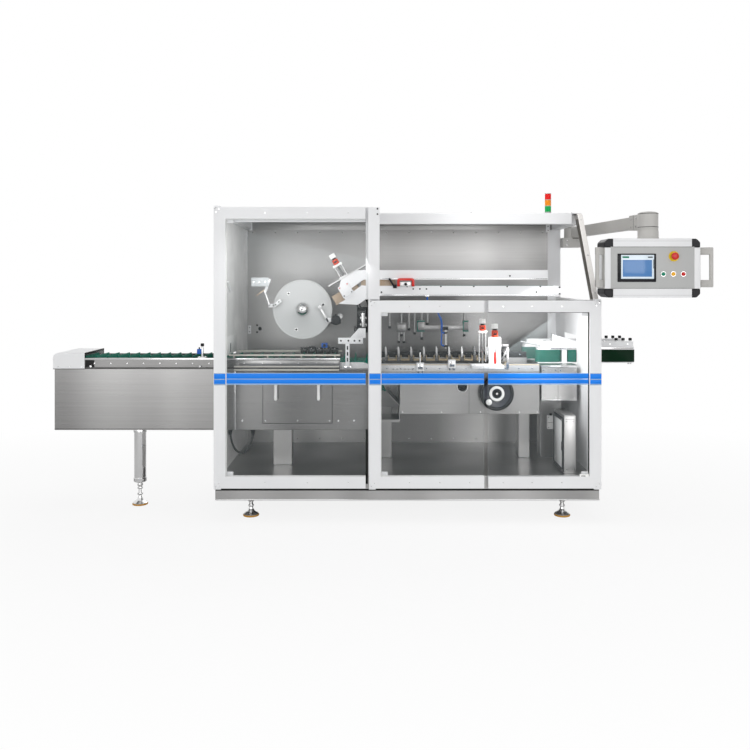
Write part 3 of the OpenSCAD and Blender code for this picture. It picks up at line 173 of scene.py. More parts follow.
def brushed(name, across, level, rough, warm=0.01, streak=0.012, painted_reflection=0.0, painted_shade=0.0):
    """Ground sheet metal: fine lines along the brushing, upright soft bands of painted reflection, and a broad darker
    stretch of painted shade.
    """
    metal = Finish(name, Metallic=1.0)
    fine = metal.grain(tuple(FINE[way] for way in across), 3)
    broad = metal.grain(tuple(BROAD[way] for way in across), 2)
    # Soft upright bands of low noise: painted reflection blurred along the brushing.
    reflection_bands = metal.grain(REFLECTION_BANDS, 0.5)
    tone = metal.span(broad, -streak, streak, *MID) + metal.span(reflection_bands, -painted_reflection, painted_reflection, 0.28, 0.74)
    # Painted shade: a broad darker stretch low on the back wall behind the pusher, fading out above.
    if painted_shade:
        along, up = (metal.node("SeparateXYZ", {}, {0: metal.place()}, out=axis) for axis in "XZ")
        away = metal.node("Math", {"operation": "ABSOLUTE"}, {0: along - SHADE_AT})
        tone = tone - metal.span(away, painted_shade, 0.0, SHADE_FLAT, SHADE_REACH) * metal.span(up, 1, 0, *SHADE_TOP)
    most = streak + painted_reflection
    share = metal.span(tone, 0, 1, -most - painted_shade, most)
    shade = metal.mix(share, grey(level - most - painted_shade, warm), grey(level + most, warm))
    gloss = metal.span(fine, rough - 0.03, rough + 0.04, *MID)
    return metal.feed(Base_Color=shade, Roughness=gloss, Normal=metal.bump(fine, 0.000006))


def coated(name, colour, rough, peel=0.00006, drift=0.025, size=420, **fixed):
    """Sprayed or moulded surface: slight drift of tone, orange peel, and patchy gloss."""
    coat = Finish(name, Specular_IOR_Level=SHEEN, **fixed)
    cloud = coat.grain((2.2, 2.2, 2.2), 4)
    peels = coat.grain((size, size, size), 1)
    shade = coat.mix(coat.span(cloud, 0, 1, *MID), toned(colour, 1 - drift), toned(colour, 1 + drift))
    gloss = coat.span(cloud * 0.6 + peels * 0.4, rough - 0.05, rough + 0.07, *MID)
    return coat.feed(Base_Color=shade, Roughness=gloss, Normal=coat.bump(peels, peel))


# Most stainless finishes below take a strength for their upright bands of painted reflection.
stainless = brushed("brushed_stainless", ALONG_X, 0.31, 0.3, painted_reflection=0.12)
pale_steel = brushed("pale_stainless", UPRIGHT, 0.55, 0.34, painted_reflection=0.04)
base_steel = brushed("base_stainless", ALONG_X, 0.45, 0.33, painted_reflection=0.1)
# A darker copy of the stainless for parts deep in the bays: painted shade.
shaded_bay_steel = brushed("shaded_bay_stainless", ALONG_X, 0.20, 0.30, painted_reflection=0.06)
bed_steel = brushed("bed_stainless", ALONG_X, 0.27, 0.32, painted_reflection=0.06)
upright_steel = brushed("upright_brushed_stainless", UPRIGHT, 0.33, 0.32, painted_reflection=0.03)
# The back wall carries the painted shade behind the pusher.
wall_steel = brushed("inner_wall_stainless", ALONG_X, 0.38, 0.36, painted_reflection=0.05, painted_shade=0.2)
polished = brushed("polished_steel", ALONG_X, 0.66, 0.16, 0.0)
chrome = brushed("plated_bright_steel", UPRIGHT, 0.72, 0.09, 0.0)
aluminium = brushed("satin_aluminium", ALONG_X, 0.64, 0.38, 0.0, 0.02)
dark_steel = brushed("blackened_steel", ALONG_X, 0.07, 0.42, 0.0, 0.02)
bar_steel = brushed("sloped_bar_steel", UPRIGHT, 0.68, 0.36, 0.03, 0.02)
copper = brushed("copper_strip", ALONG_X, 0.5, 0.3, 0.25, 0.04)

white = coated("white_powder_coat", (0.85, 0.855, 0.865), 0.34)
white_plastic = coated("white_moulding", (0.88, 0.88, 0.865), 0.3, size=700)
black = coated("black_moulding", (0.018, 0.018, 0.02), 0.42, peel=0.0001, drift=0.2, size=900)
gloss_black = coated("polished_black_moulding", (0.012, 0.013, 0.016), 0.12, drift=0.2, Coat_Weight=0.1)
slate = coated("slate_moulding", (0.032, 0.036, 0.048), 0.2, drift=0.1, Coat_Weight=0.4)
amber_rubber = coated("amber_rubber", (0.60, 0.30, 0.05), 0.5, drift=0.12, size=600)
tan = coated("tan_moulding", (0.46, 0.37, 0.24), 0.45, drift=0.08)
blue = coated("blue_moulding", (0.02, 0.12, 0.5), 0.25, drift=0.06)
red = coated("red_moulding", (0.62, 0.025, 0.018), 0.22, drift=0.06, Coat_Weight=0.4)
counter_red = coated("counter_orange_red", (0.66, 0.06, 0.02), 0.3, drift=0.06)
yellow = coated("stop_ring_yellow", (0.8, 0.55, 0.02), 0.28, drift=0.04)
button_green = coated("button_green", (0.01, 0.22, 0.13), 0.2, drift=0.05, Coat_Weight=0.1)
button_amber = coated("button_amber", (0.85, 0.42, 0.02), 0.2, drift=0.05, Coat_Weight=0.1)
button_red = coated("button_dark_red", (0.55, 0.015, 0.015), 0.2, drift=0.05, Coat_Weight=0.1)
lens_red = coated("lens_red", (0.85, 0.012, 0.01), 0.16, drift=0.1, Coat_Weight=0.1)
lens_amber = coated("lens_amber", (0.92, 0.30, 0.006), 0.16, drift=0.1, Coat_Weight=0.1)
lens_green = coated("lens_green", (0.004, 0.40, 0.09), 0.16, drift=0.1, Coat_Weight=0.1)
bezel_grey = coated("panel_face_grey", (0.50, 0.505, 0.50), 0.36)
seal = coated("black_rubber_seal", (0.012, 0.012, 0.012), 0.6, drift=0.2)
guide_beige = coated("guide_rail_beige", (0.62, 0.60, 0.54), 0.4)
arm_grey = coated("arm_grey_paint", (0.52, 0.51, 0.49), 0.34)
window_grey = coated("window_grey", (0.74, 0.75, 0.75), 0.18, drift=0.08, Coat_Weight=0.3)
# Dark brown for the sloped bar's side face: painted shade.
bar_shadow = coated("painted_bar_side_shade", (0.10, 0.092, 0.08), 0.4, drift=0.12)
stripe_blue = coated("stripe_blue", (0.009, 0.225, 0.87), 0.3, drift=0.03)
side_grey = coated("side_panel_grey", (0.90, 0.90, 0.89), 0.26, drift=0.05)
handle_white = coated("handle_white", (0.92, 0.92, 0.91), 0.25)


def belt_rubber(name, colour):
    """Belt compound: fine fabric print across and along, dust on the raised threads."""
    belt = Finish(name, Specular_IOR_Level=BELT_SHEEN)
    weave = belt.wave("X", 160, 1.5) * belt.wave("Y", 160, 1.5)
    dust = belt.grain((9, 9, 9), 5)
    shade = belt.mix(belt.span(dust, 0, 0.5, 0.45, 0.75), colour, toned(colour, 0.8, 0.025))
    return belt.feed(Base_Color=shade, Roughness=belt.span(weave, 0.38, 0.55), Normal=belt.bump(weave, 0.0002))


teal_belt = belt_rubber("teal_belt", (0.008, 0.18, 0.125, 1))
green_belt = belt_rubber("green_grip_belt", (0.012, 0.125, 0.092, 1))
# The same grip belt darker, as painted shade on its runs beyond the end panel.
shaded_belt = belt_rubber("shaded_grip_belt", (0.002, 0.022, 0.008, 1))


def board():
    """Folded carton board: printed pale faces, brown cut edges in thin layers."""
    card = Finish("carton_board", Specular_IOR_Level=BOARD_SHEEN)
    layers = card.span(card.wave("X", 62, 0.6), 0, 1, 0.35, 0.65)
    fibre = card.grain((260, 60, 260), 3)
    shade = card.mix(layers, (0.36, 0.22, 0.12, 1), (0.68, 0.60, 0.50, 1))
    return card.feed(Base_Color=shade, Roughness=card.span(fibre, 0.6, 0.8), Normal=card.bump(fibre, 0.0001))


carton = board()


def clear(name, colour, alpha, rough=0.04):
    """Clear sheet with faint wipe marks."""
    sheet = Finish(name, Base_Color=colour, Alpha=alpha)
    return sheet.feed(Roughness=sheet.span(sheet.grain((3, 3, 7), 3), rough, rough + 0.05, *MID))


pane = clear("clear_pane", (0.60, 0.68, 0.70, 1), 0.03)
pane_edge = clear("polished_pane_edge", (0.70, 0.84, 0.82, 1), 0.55)
film = clear("pale_blue_film", (0.42, 0.66, 0.95, 1), 0.5, 0.2)
acrylic = clear("clear_acrylic", (0.88, 0.92, 0.94, 1), 0.6)


def lit(name, colour, strength):
    """Lit screen area with a fine dot raster."""
    field = Finish(name, Roughness=0.12, Emission_Strength=strength)
    shade = field.mix(field.wave("Z", 320), toned(colour, 0.82), colour)
    return field.feed(Base_Color=shade, Emission_Color=shade)


screen_blue = lit("screen_blue", (0.06, 0.17, 0.38, 1), 0.45)
screen_pale = lit("screen_pale", (0.58, 0.66, 0.72, 1), 0.42)


def sheath():
    """Cable sheath: fine rings across the run and a dull drift."""
    skin = Finish("black_cable_sheath")
    cloud = skin.grain((12, 12, 12), 3)
    shade = skin.mix(cloud, (0.01, 0.01, 0.01, 1), (0.03, 0.03, 0.032, 1))
    return skin.feed(Base_Color=shade, Roughness=skin.span(cloud, 0.4, 0.6),
                     Normal=skin.bump(skin.wave("Z", 260), 0.0002))


cable_sheath = sheath()


def soften(shape, size):
    bmesh.ops.bevel(shape, geom=shape.edges[:], offset=size, affect="EDGES", segments=2, profile=0.5, material=-1)
    return shape


def stood(shape, at, axis):
    """A shape drawn upright from the origin, moved to a place and turned to an axis."""
    turn = Vector(UP).rotation_difference(Vector(axis)).to_matrix().to_4x4()
    bmesh.ops.transform(shape, matrix=Matrix.Translation(at) @ turn, verts=shape.verts)
    return shape


def grown(shape, faces, way):
    """Some faces drawn out to a solid."""
    made = bmesh.ops.extrude_face_region(shape, geom=faces)["geom"]
    bmesh.ops.translate(shape, vec=way, verts=[v for v in made if isinstance(v, bmesh.types.BMVert)])
    bmesh.ops.recalc_face_normals(shape, faces=shape.faces)
    return shape


def block(x, y, z, ease=1.0):
    """A box between limits on each axis with eased edges."""
    shape = bmesh.new()
    size = Vector((x[1] - x[0], y[1] - y[0], z[1] - z[0]))
    bmesh.ops.create_cube(shape, size=1)
    bmesh.ops.scale(shape, vec=size, verts=shape.verts)
    bmesh.ops.translate(shape, vec=(sum(x) / 2, sum(y) / 2, sum(z) / 2), verts=shape.verts)
    return soften(shape, min(ease, 0.4 * min(size)))


def turned(profile, at, axis=UP, steps=28):
    """A lathe-turned shape: radius and height pairs spun about an axis."""
    shape = bmesh.new()
    line = [shape.verts.new((radius, 0, height)) for radius, height in profile]
    edges = [shape.edges.new(pair) for pair in zip(line, line[1:])]
    bmesh.ops.spin(shape, geom=line + edges, cent=(0, 0, 0), axis=UP, angle=2 * math.pi, steps=steps, use_merge=True)
    bmesh.ops.remove_doubles(shape, verts=shape.verts, dist=0.0005)
    bmesh.ops.recalc_face_normals(shape, faces=shape.faces)
    return stood(shape, at, axis)


def rod(a, b, radius, ease=0.8, steps=20):
    """A round bar between two points with chamfered ends."""
    a, b = Vector(a), Vector(b)
    run = (b - a).length
    ease = min(ease, radius * 0.4, run * 0.3)
    inner = radius - ease
    profile = [(0, 0), (inner, 0), (radius, ease), (radius, run - ease), (inner, run), (0, run)]
    return turned(profile, a, b - a, steps)


def ring(at, axis, inner, outer, height, steps=28):
    return turned([(inner, 0), (outer, 0), (outer, height), (inner, height), (inner, 0)], at, axis, steps)


def disc(at, axis, radius, height, steps):
    """A thin round patch standing on a face."""
    return turned([(0, height), (radius, height), (radius, 0)], at, axis, steps)


SPREAD = {"x": lambda a, b, d: (d, a, b), "y": lambda a, b, d: (a, d, b), "z": lambda a, b, d: (a, b, d)}


def plate(outline, depth, axis="y", ease=0.6):
    """A flat outline drawn out along one axis with eased edges."""
    shape = bmesh.new()
    spread = SPREAD[axis]
    face = shape.faces.new([shape.verts.new(spread(a, b, depth[0])) for a, b in outline])
    return soften(grown(shape, [face], spread(0, 0, depth[1] - depth[0])), ease)


def strip(a, b, width, depth, axis="y", ease=0.6):
    """A flat bar between two points of its plane."""
    a, b = Vector(a), Vector(b)
    side = Vector((a.y - b.y, b.x - a.x)).normalized() * width / 2
    return plate([a + side, a - side, b - side, b + side], depth, axis, ease)


def tube(name, kind, radius, rounds):
    """An empty curve with a round section and one spline."""
    curve = bpy.data.curves.new(name, "CURVE")
    curve.dimensions = "3D"
    curve.bevel_depth, curve.bevel_resolution, curve.use_fill_caps = radius, rounds, True
    return curve, curve.splines.new(kind)


def pipe(path, radius):
    """A bent tube through some points."""
    curve, spline = tube("pipe", "BEZIER", radius, 2)
    spline.bezier_points.add(len(path) - 1)
    for point, place in zip(spline.bezier_points, path):
        point.co = place
        point.handle_left_type = point.handle_right_type = "AUTO"
    holder = bpy.data.objects.new("pipe", curve)
    shape = bmesh.new()
    shape.from_mesh(holder.to_mesh())
    holder.to_mesh_clear()
    bpy.data.objects.remove(holder)
    bpy.data.curves.remove(curve)
    return shape


def drum(sides, radius, height, top=1.0):
    """A prism that stands on the origin."""
    shape = bmesh.new()
    bmesh.ops.create_cone(shape, cap_ends=True, segments=sides, radius1=radius, radius2=radius * top, depth=height)
    bmesh.ops.translate(shape, vec=(0, 0, height / 2), verts=shape.verts)
    return shape


def screw(at, axis=FRONT, radius=4.0, height=None):
    """A socket-head screw standing on a face."""
    height = height or radius * 0.7
    shape = drum(12, radius, height, 0.92)
    top = max(shape.faces, key=lambda face: face.calc_center_median().z)
    bmesh.ops.inset_region(shape, faces=[top], thickness=radius * 0.42)
    bmesh.ops.inset_region(shape, faces=[top], thickness=radius * 0.03, depth=-height * 0.6)
    return stood(shape, at, axis)


def nut(at, axis, radius, height):
    """A hexagon nut with eased corners."""
    return stood(soften(drum(6, radius, height), radius * 0.08), at, axis)


def knob(at, axis, radius, height, flutes=18):
    """A fluted hand knob."""
    shape = drum(flutes, radius, height)
    sides = [face for face in shape.faces if len(face.verts) == 4]
    caps = [face for face in shape.faces if len(face.verts) != 4]
    bmesh.ops.inset_individual(shape, faces=sides, thickness=radius * 0.06, depth=-radius * 0.07)
    bmesh.ops.inset_region(shape, faces=caps, thickness=radius * 0.25, depth=radius * 0.06)
    return stood(shape, at, axis)


def threads(at, axis, radius, height, pitch=2.5, steps=20):
    """A run of thread crests on a stem."""
    root = radius * 0.8
    profile = [(root, 0)]
    for i in range(int(height / pitch)):
        profile += [(radius, (i + 0.35) * pitch), (radius * 0.88, (i + 0.9) * pitch)]
    return turned(profile + [(root, height), (root, 0)], at, axis, steps)


def drawn(name):
    """Limits of a CAD solid on each axis in drawing units."""
    low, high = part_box(name)
    return [((a - c) * 1000, (b - c) * 1000) for a, b, c in zip(low, high, CORNER)]


def spots(x, y, z):
    """Every place given by one or more values on each axis."""
    return list(product(*(axis if hasattr(axis, "__iter__") else (axis,) for axis in (x, y, z))))


def layer(at, thick):
    """Limits of a layer of some thickness on a face, along its outward way."""
    return sorted((at, at + thick))


class Piece:
    """One named piece of the machine in one or more finishes."""

    def __init__(self, name, slot, *finishes, body="machine"):
        self.name, self.slot, self.finishes, self.body = name, slot, finishes, body
        self.mesh = bmesh.new()

    def add(self, shape, finish=0, place=None):
        for face in shape.faces:
            face.material_index = finish
        part = bpy.data.meshes.new(self.name)
        shape.to_mesh(part)
        shape.free()
        if place:
            part.transform(place)
        self.mesh.from_mesh(part)
        bpy.data.meshes.remove(part)

    def blocks(self, finish, ease, *limits, place=None):
        for x, y, z in limits:
            self.add(block(x, y, z, ease), finish, place)

    def screws(self, finish, places, axis=FRONT, radius=4.0, height=None, place=None):
        for at in places:
            self.add(screw(at, axis, radius, height), finish, place)

    def done(self, *nodes):
        data = bpy.data.meshes.new(self.name)
        self.mesh.to_mesh(data)
        self.mesh.free()
        data.transform(PLACE)
        data.shade_smooth()
        data.set_sharp_from_angle(angle=math.radians(32))
        for finish in self.finishes:
            data.materials.append(finish.material)
        piece = bpy.data.objects.new(self.name, data)
        scene.collection.objects.link(piece)
        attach(piece, self.body)
        if nodes:
            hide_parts(*nodes)


# The cable's loop under the conveyor
CABLE_Y, CABLE_R, CABLE_POINTS = 240, 6, 36
CABLE_BEND = [(49, 480), (49, 290), (184, 290), (184, 480)]
GLAND = [(6.3, 0), (16, 0), (16, 9), (13, 11), (12, 16), (8.5, 34), (6.3, 36), (6.3, 0)]


def cable_at(t):
    weights = ((1 - t) ** 3, 3 * t * (1 - t) ** 2, 3 * t * t * (1 - t), t ** 3)
    x, z = (sum(w * p[axis] for w, p in zip(weights, CABLE_BEND)) for axis in (0, 1))
    return metres(x, CABLE_Y, z)


def cable_loop():
    route = [cable_at(i / CABLE_POINTS) for i in range(CABLE_POINTS + 1)]
    curve, spline = tube("cable_loop", "POLY", CABLE_R / 1000, 3)
    spline.points.add(CABLE_POINTS)
    for point, place in zip(spline.points, route):
        point.co = (*place, 1)
    curve.materials.append(cable_sheath.material)
    piece = bpy.data.objects.new("cable_loop", curve)
    scene.collection.objects.link(piece)
    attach(piece, "machine")
    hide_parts("cable")
    glands = Piece("cable_glands", "black_plastic", black)
    for x, z in (CABLE_BEND[0], CABLE_BEND[-1]):
        glands.add(turned(GLAND, (x, CABLE_Y, z), DOWN))
        glands.add(ring((x, CABLE_Y, z - 2), DOWN, 16, 18, 5, 6))
    glands.done()


cable_loop()

# Finishes of the CAD solids that keep their shape, and the width of their eased edges
NODE_FINISH = {
    stainless: ("infeed_body",),
    base_steel: ("base_frame", "outfeed_housing"),
    pale_steel: ("electrical_box",),
    shaded_bay_steel: ("conveyor_housing", "access_panel", "side_rails"),
    bed_steel: ("machine_bed", "reject_chute"),
    bar_steel: ("sloped_bar",),
    upright_steel: ("support_columns",),
    side_grey: ("left_side_panel",),
    wall_steel: ("back_wall",),
    polished: ("pocket_lugs",),
    chrome: ("levelling_feet", "infeed_leg", "reel_spindle"),
    aluminium: ("belt_bed", "chain_track", "magazine_bars"),
    arm_grey: ("arm_bracket", "panel_arm"),
    bezel_grey: ("signal_tower",),
    dark_steel: ("carton_chain", "chain_guide"),
    white: ("door_pivots", "infeed_hood", "frame_rails", "right_side_panel", "roof_panel", "magazine_plates",
            "grip_rails", "left_door_frame", "middle_door_frame", "right_door_frame"),
    guide_beige: ("guide_rails",),
    teal_belt: ("infeed_belt",),
    tan: ("pocket_trays",),
    black: ("window_frame", "panel_corners"),
    amber_rubber: ("foot_rubbers",),
}
EASED = {
    1: ("chain_track", "access_panel"),
    1.5: ("magazine_plates", "grip_rails"),
    2: ("window_frame",),
    2.5: ("left_door_frame", "middle_door_frame", "right_door_frame"),
    3: ("infeed_body", "conveyor_housing", "machine_bed", "outfeed_housing", "electrical_box", "frame_rails",
        "sloped_bar", "support_columns"),
    4: ("base_frame",),
    6: ("panel_corners",),
}


def dress_nodes():
    for finish, names in NODE_FINISH.items():
        for name in names:
            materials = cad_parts[name].data.materials
            materials.clear()
            materials.append(finish.material)
    for size, names in EASED.items():
        for name in names:
            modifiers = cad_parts[name].modifiers
            weld = modifiers.new("weld", "WELD")
            weld.merge_threshold = 0.00001
            flat = modifiers.new("flat", "DECIMATE")
            flat.decimate_type = "DISSOLVE"
            flat.angle_limit = math.radians(1)
            edge = modifiers.new("edge", "BEVEL")
            edge.width, edge.segments, edge.limit_method = size / 1000, 2, "ANGLE"
            edge.angle_limit = math.radians(40)
            edge.harden_normals = True


dress_nodes()

# Doors: width and height of each pane, width of each upright, the pane's planes, heights of the film and its stripes
PANES = {"left": ((52, 854), (242, 1720)), "middle": ((925, 1521.5), (242, 1194)),
         "right": ((1544.5, 2128), (242, 1194))}
STILES = {"left": (0, 66), "middle": (873, 939), "right": (2114, 2180)}
PANE_Y = (13.5, 21.5)
FILM_Z = (770, 838)
STRIPES_Z = ((778, 801), (806, 834))
DOOR_RAIL = 52


def door_dress(side):
    body = side + "_door"
    (x0, x1), z = PANES[side]
    s0, s1 = STILES[side]
    right = side == "right"
    hinge, way = (s1, -1) if right else (s0, 1)
    seen = (x0, s0) if right else (s1, x1)

    glass = Piece(side + "_door_pane", "clear_pane", pane, pane_edge, body=body)
    glass.add(block((x0, x1), PANE_Y, z, 0.8))
    for face in glass.mesh.faces:
        face.material_index = 0 if abs(face.normal.y) > 0.9 else 1
    glass.done(side + "_door_glass")

    tape = Piece(side + "_door_stripes", "blue_plastic", stripe_blue, film, body=body)
    for x, y in ((seen, PANE_Y[0]), ((s0 + 2, s1), 0)):
        tape.add(block(x, (y - 0.25, y), FILM_Z, 0.05), 1)
        tape.blocks(0, 0.1, *((x, (y - 0.7, y - 0.3), band) for band in STRIPES_Z))
    tape.done()

    seals = Piece(side + "_door_seals", "black_plastic", seal if right else white_plastic, body=body)
    upright = (s0 - 4, s0) if right else (s1, s1 + 4)
    low, high = z[0] + 14, z[1] - 14
    seals.blocks(0, 1, *((upright, y, (low, high)) for y in ((11.5, 13.5), (21.5, 24))),
                 *((seen, (12, 13.5), (at, at + 3)) for at in (low, high - 3)))
    seals.done()

    fittings = Piece(side + "_door_fittings", "bright_steel", chrome, white, seal, body=body)
    low, high = z[0] - DOOR_RAIL, z[1] + DOOR_RAIL
    outer = hinge + way * 22
    for at in (low + 20, high - 20):
        fittings.add(block((outer - 14, outer + 14), (-2.5, 0), (at - 14, at + 14), 0.8), 1)
        fittings.screws(0, [(outer + d, -2.5, at + d) for d in (-8, 8)], radius=3.2)
    along = [hinge + way * (66 + part * (x1 - x0 - 60)) for part in (0.3, 0.62, 0.93)]
    fittings.screws(0, spots(along, 0, (low + 33, high - 33)), radius=3.4, height=1.2)
    fittings.screws(2, [(hinge + way * 11, 0, high - 8)], radius=5, height=1.6)
    fittings.done()


for side in PANES:
    door_dress(side)

# Studio: pale floor, white surround, soft lamps by place, aim, size and power
FLOOR_REACH = 14
SURROUND_LIGHT = 0.42
LAMPS = {
    "key_lamp": ((-2.3, -5.6, 1.8), (0.1, 0.3, 0.9), 3.0, 70),
    "fill_lamp": ((2.6, -5.4, 1.8), (0.1, 0.3, 0.9), 3.0, 70),
    "top_lamp": ((0, 0.2, 4.6), (0, 0.1, 0), 3.2, 52),
    "back_lamp": ((0.5, 4.2, 3.2), (0, 0, 0.8), 2.6, 55),
    "left_bay_lamp": ((-0.40, -0.29, 1.66), (-0.6, 0.5, 0.8), 0.7, 2.6),
    "right_bay_lamp": ((0.75, -0.27, 1.68), (0.9, 0.5, 0.8), 0.7, 0.7),
    "low_bay_lamp": ((0.86, -0.29, 1.1), (1.28, 0.15, 0.5), 0.4, 3.8),
}


def lay_floor():
    shape = bmesh.new()
    bmesh.ops.create_grid(shape, x_segments=1, y_segments=1, size=FLOOR_REACH)
    data = bpy.data.meshes.new("floor")
    shape.to_mesh(data)
    shape.free()
    floor = bpy.data.objects.new("floor", data)
    scene.collection.objects.link(floor)
    ground = Finish("pale_floor", Base_Color=(0.86, 0.86, 0.86, 1), Roughness=0.9)
    near = ground.node("TexGradient", {"gradient_type": "SPHERICAL"},
                       {"Vector": ground.stretched((0.22, 0.34, 0.3))})
    seen = ground.node("LightPath", out="Is Camera Ray")
    shine = ground.node("Emission", {}, {"Color": (1, 1, 1, 1), "Strength": 1.0})
    share = seen * ground.span(near, 1.0, 0.86, 0.0, 0.6)
    plain = Shade(ground, ground.surface.outputs[0])
    blend = ground.node("MixShader", {}, {0: share, 1: plain, 2: shine})
    ground.join(blend, ground.tree.nodes["Material Output"].inputs["Surface"])
    data.materials.append(ground.material)


def light():
    scene.world = bpy.data.worlds.new("surround")
    scene.world.use_nodes = True
    surround = Nodes(scene.world.node_tree)
    camera_ray, glossy, through = (surround.node("LightPath", out="Is " + kind + " Ray")
                                   for kind in ("Camera", "Glossy", "Transmission"))
    back = surround.tree.nodes["Background"].inputs
    surround.join(surround.span(camera_ray + glossy + through, SURROUND_LIGHT, 1.0), back["Strength"])
    surround.join((1, 1, 1, 1), back["Color"])
    for name, (place, aim, size, power) in LAMPS.items():
        lamp = bpy.data.lights.new(name, "AREA")
        lamp.energy, lamp.size = power, size
        holder = bpy.data.objects.new(name, lamp)
        holder.location = place
        holder.rotation_euler = (Vector(aim) - Vector(place)).to_track_quat("-Z", "Y").to_euler()
        holder.visible_camera = False
        holder.visible_glossy = size > 1
        scene.collection.objects.link(holder)


lay_floor()
light()

# Feet, base and infeed conveyor
FEET = [(190, 133), (1990, 133), (190, 923), (1990, 923)]
LEG = (-520, 360)
LEG_SLEEVES = ([(10, 139), (34, 139), (38.5, 143), (38.5, 163), (36.5, 166), (34.5, 166), (34.5, 141), (10, 141),
                (10, 139)], [(34.5, 440), (39, 440), (39, 462), (37, 466), (34.5, 466), (34.5, 440)])
SOLE = [(36, 0.2), (44.5, 0.2), (46, 2), (46, 7), (44.5, 9.5), (41, 10.5), (36, 9), (36, 0.2)]


def feet():
    stems = Piece("foot_nuts", "bright_steel", chrome)
    for x, y in FEET:
        stems.add(threads((x, y, 50), UP, 11, 26))
        stems.add(nut((x, y, 54), UP, 17, 10))
        stems.add(ring((x, y, 104), UP, 8, 24, 6))
    x, y = LEG
    stems.add(threads((x, y, 50), UP, 11, 58))
    for z in (60, 96):
        stems.add(nut((x, y, z), UP, 17, 11))
    for sleeve in LEG_SLEEVES:
        stems.add(turned(sleeve, (x, y, 0), steps=36))
    stems.add(block((x - 62, x + 62), (y - 62, y + 62), (472, 480), 2))
    stems.screws(0, spots((x - 48, x + 48), (y - 48, y + 48), 472), DOWN, 7, 5)
    for a in range(4):
        out = Matrix.Rotation((a + 0.5) * math.pi / 2, 3, "Z") @ Vector(RIGHT)
        stems.screws(0, [Vector((x, y, 153)) + out * 38], out)
    stems.done()
    soles = Piece("foot_soles", "amber_rubber", amber_rubber)
    for x, y in FEET + [LEG]:
        soles.add(turned(SOLE, (x, y, 0), steps=40))
    soles.done()


def base_trim():
    trim = Piece("base_edges", "stainless", polished, chrome, seal)
    trim.add(block((-1.5, 2181.5), (41.6, 43), (112, 117), 0.5))
    # A black strip along the base front under the doors: painted shadow line.
    trim.add(block((2, 2178), (41.2, 43), (167, 177), 0.5), 2)
    for x, way in ((0, -1), (2180, 1)):
        trim.blocks(0, 0.5, *((layer(x, way * 1.6), (45, 1011), z) for z in ((112, 117), (243, 248))))
        trim.screws(1, spots(x, (160, 520, 880), 180), (way, 0, 0), 6)
    trim.done()


feet()
base_trim()

RAIL_X = (-797, 701)
BODY_SIDES = ((200, -1), (520, 1))


def infeed_trim():
    trim = Piece("infeed_rail_trim", "stainless", polished, guide_beige, dark_steel, chrome, bed_steel)
    for y, way in BODY_SIDES:
        trim.add(block(RAIL_X, layer(y, way * 1.2), (893, 901), 0.4))
        trim.add(block(RAIL_X, layer(y, way * 1.2), (841, 848), 0.4), 2)
        trim.add(block((79, 695), layer(y, way * 2), (849, 857), 0.5), 1)
        trim.add(block((79, 695), layer(y, way * 1.5), (829, 838), 0.5), 1)
        trim.add(block((110, 693), layer(y + way * 3, way * 0.8), (859, 889), 0.4), 4)
        trim.screws(3, spots(range(-740, 29, 96), y, 872), (0, way, 0), 4.2)
        trim.screws(3, spots(range(140, 671, 106), y + way * 3.8, 874), (0, way, 0), 3.4, 1.4)
    trim.done()
    body = Piece("infeed_body_fixings", "bright_steel", chrome, seal)
    body.blocks(1, 0.1, *(((-976, 20), layer(y, way * 0.6), (486, 488)) for y, way in BODY_SIDES),
                ((-976.6, -976), (206, 514), (560, 562)))
    body.add(block((-794, -742), (198.6, 199.9), (850, 892), 0.4), 1)
    body.screws(0, spots((-762, -120), 198.6, 855), FRONT, 7)
    body.screws(0, spots(range(-930, -29, 150), 520, 500), BACK, 4.5)
    body.screws(0, spots(-976, (222, 498), (520, 800)), LEFT, 4.5)
    body.done()
    hood = Piece("infeed_hood_trim", "white_paint", white, seal, chrome)
    hood.blocks(1, 1.0, ((-799, -795), (199.2, 520.8), (925, 934.2)),
                *(((-799, -795), (y, y + 3.8), (841, 930)) for y in (199.2, 517)))
    hood.add(block((-985, -797), (198.6, 200), (838, 841), 0.5), 1)
    for y, way in BODY_SIDES:
        hood.screws(2, spots((-955, -885, -815), y, 852), (0, way, 0))
    hood.done()


def infeed_eye():
    x, y = -110, 213
    eye = Piece("infeed_photo_sensor", "black_plastic", aluminium, blue, black, chrome, lens_red)
    eye.add(block((x - 26, x + 26), (202, 225), (903, 909), 1.2))
    eye.add(block((x - 4, x + 6), (206, 221), (908, 963), 1))
    eye.add(block((x - 30, x - 4), (204.5, 222.5), (926, 956), 2), 1)
    eye.add(block((x - 31.5, x - 29.5), (208, 219), (932, 950), 0.8), 4)
    eye.add(rod((x - 18, y, 956), (x - 18, y, 966), 4), 2)
    eye.add(rod((x, y, 962), (x, y, 973), 5), 3)
    eye.add(knob((x, y, 972), UP, 10, 16, 14), 2)
    eye.screws(3, spots((x - 18, x + 18), y, 909), UP)
    eye.done("infeed_sensor")


infeed_trim()
infeed_eye()

# Frame: levels of the side screws, and the back wall's two faces
LEVELS = (300, 620, 940, 1260, 1580)
WALL_IN, WALL_OUT = 970, 973
RIVET = [(0, 2.2), (3, 1.7), (5, 0.2), (5, 0)]


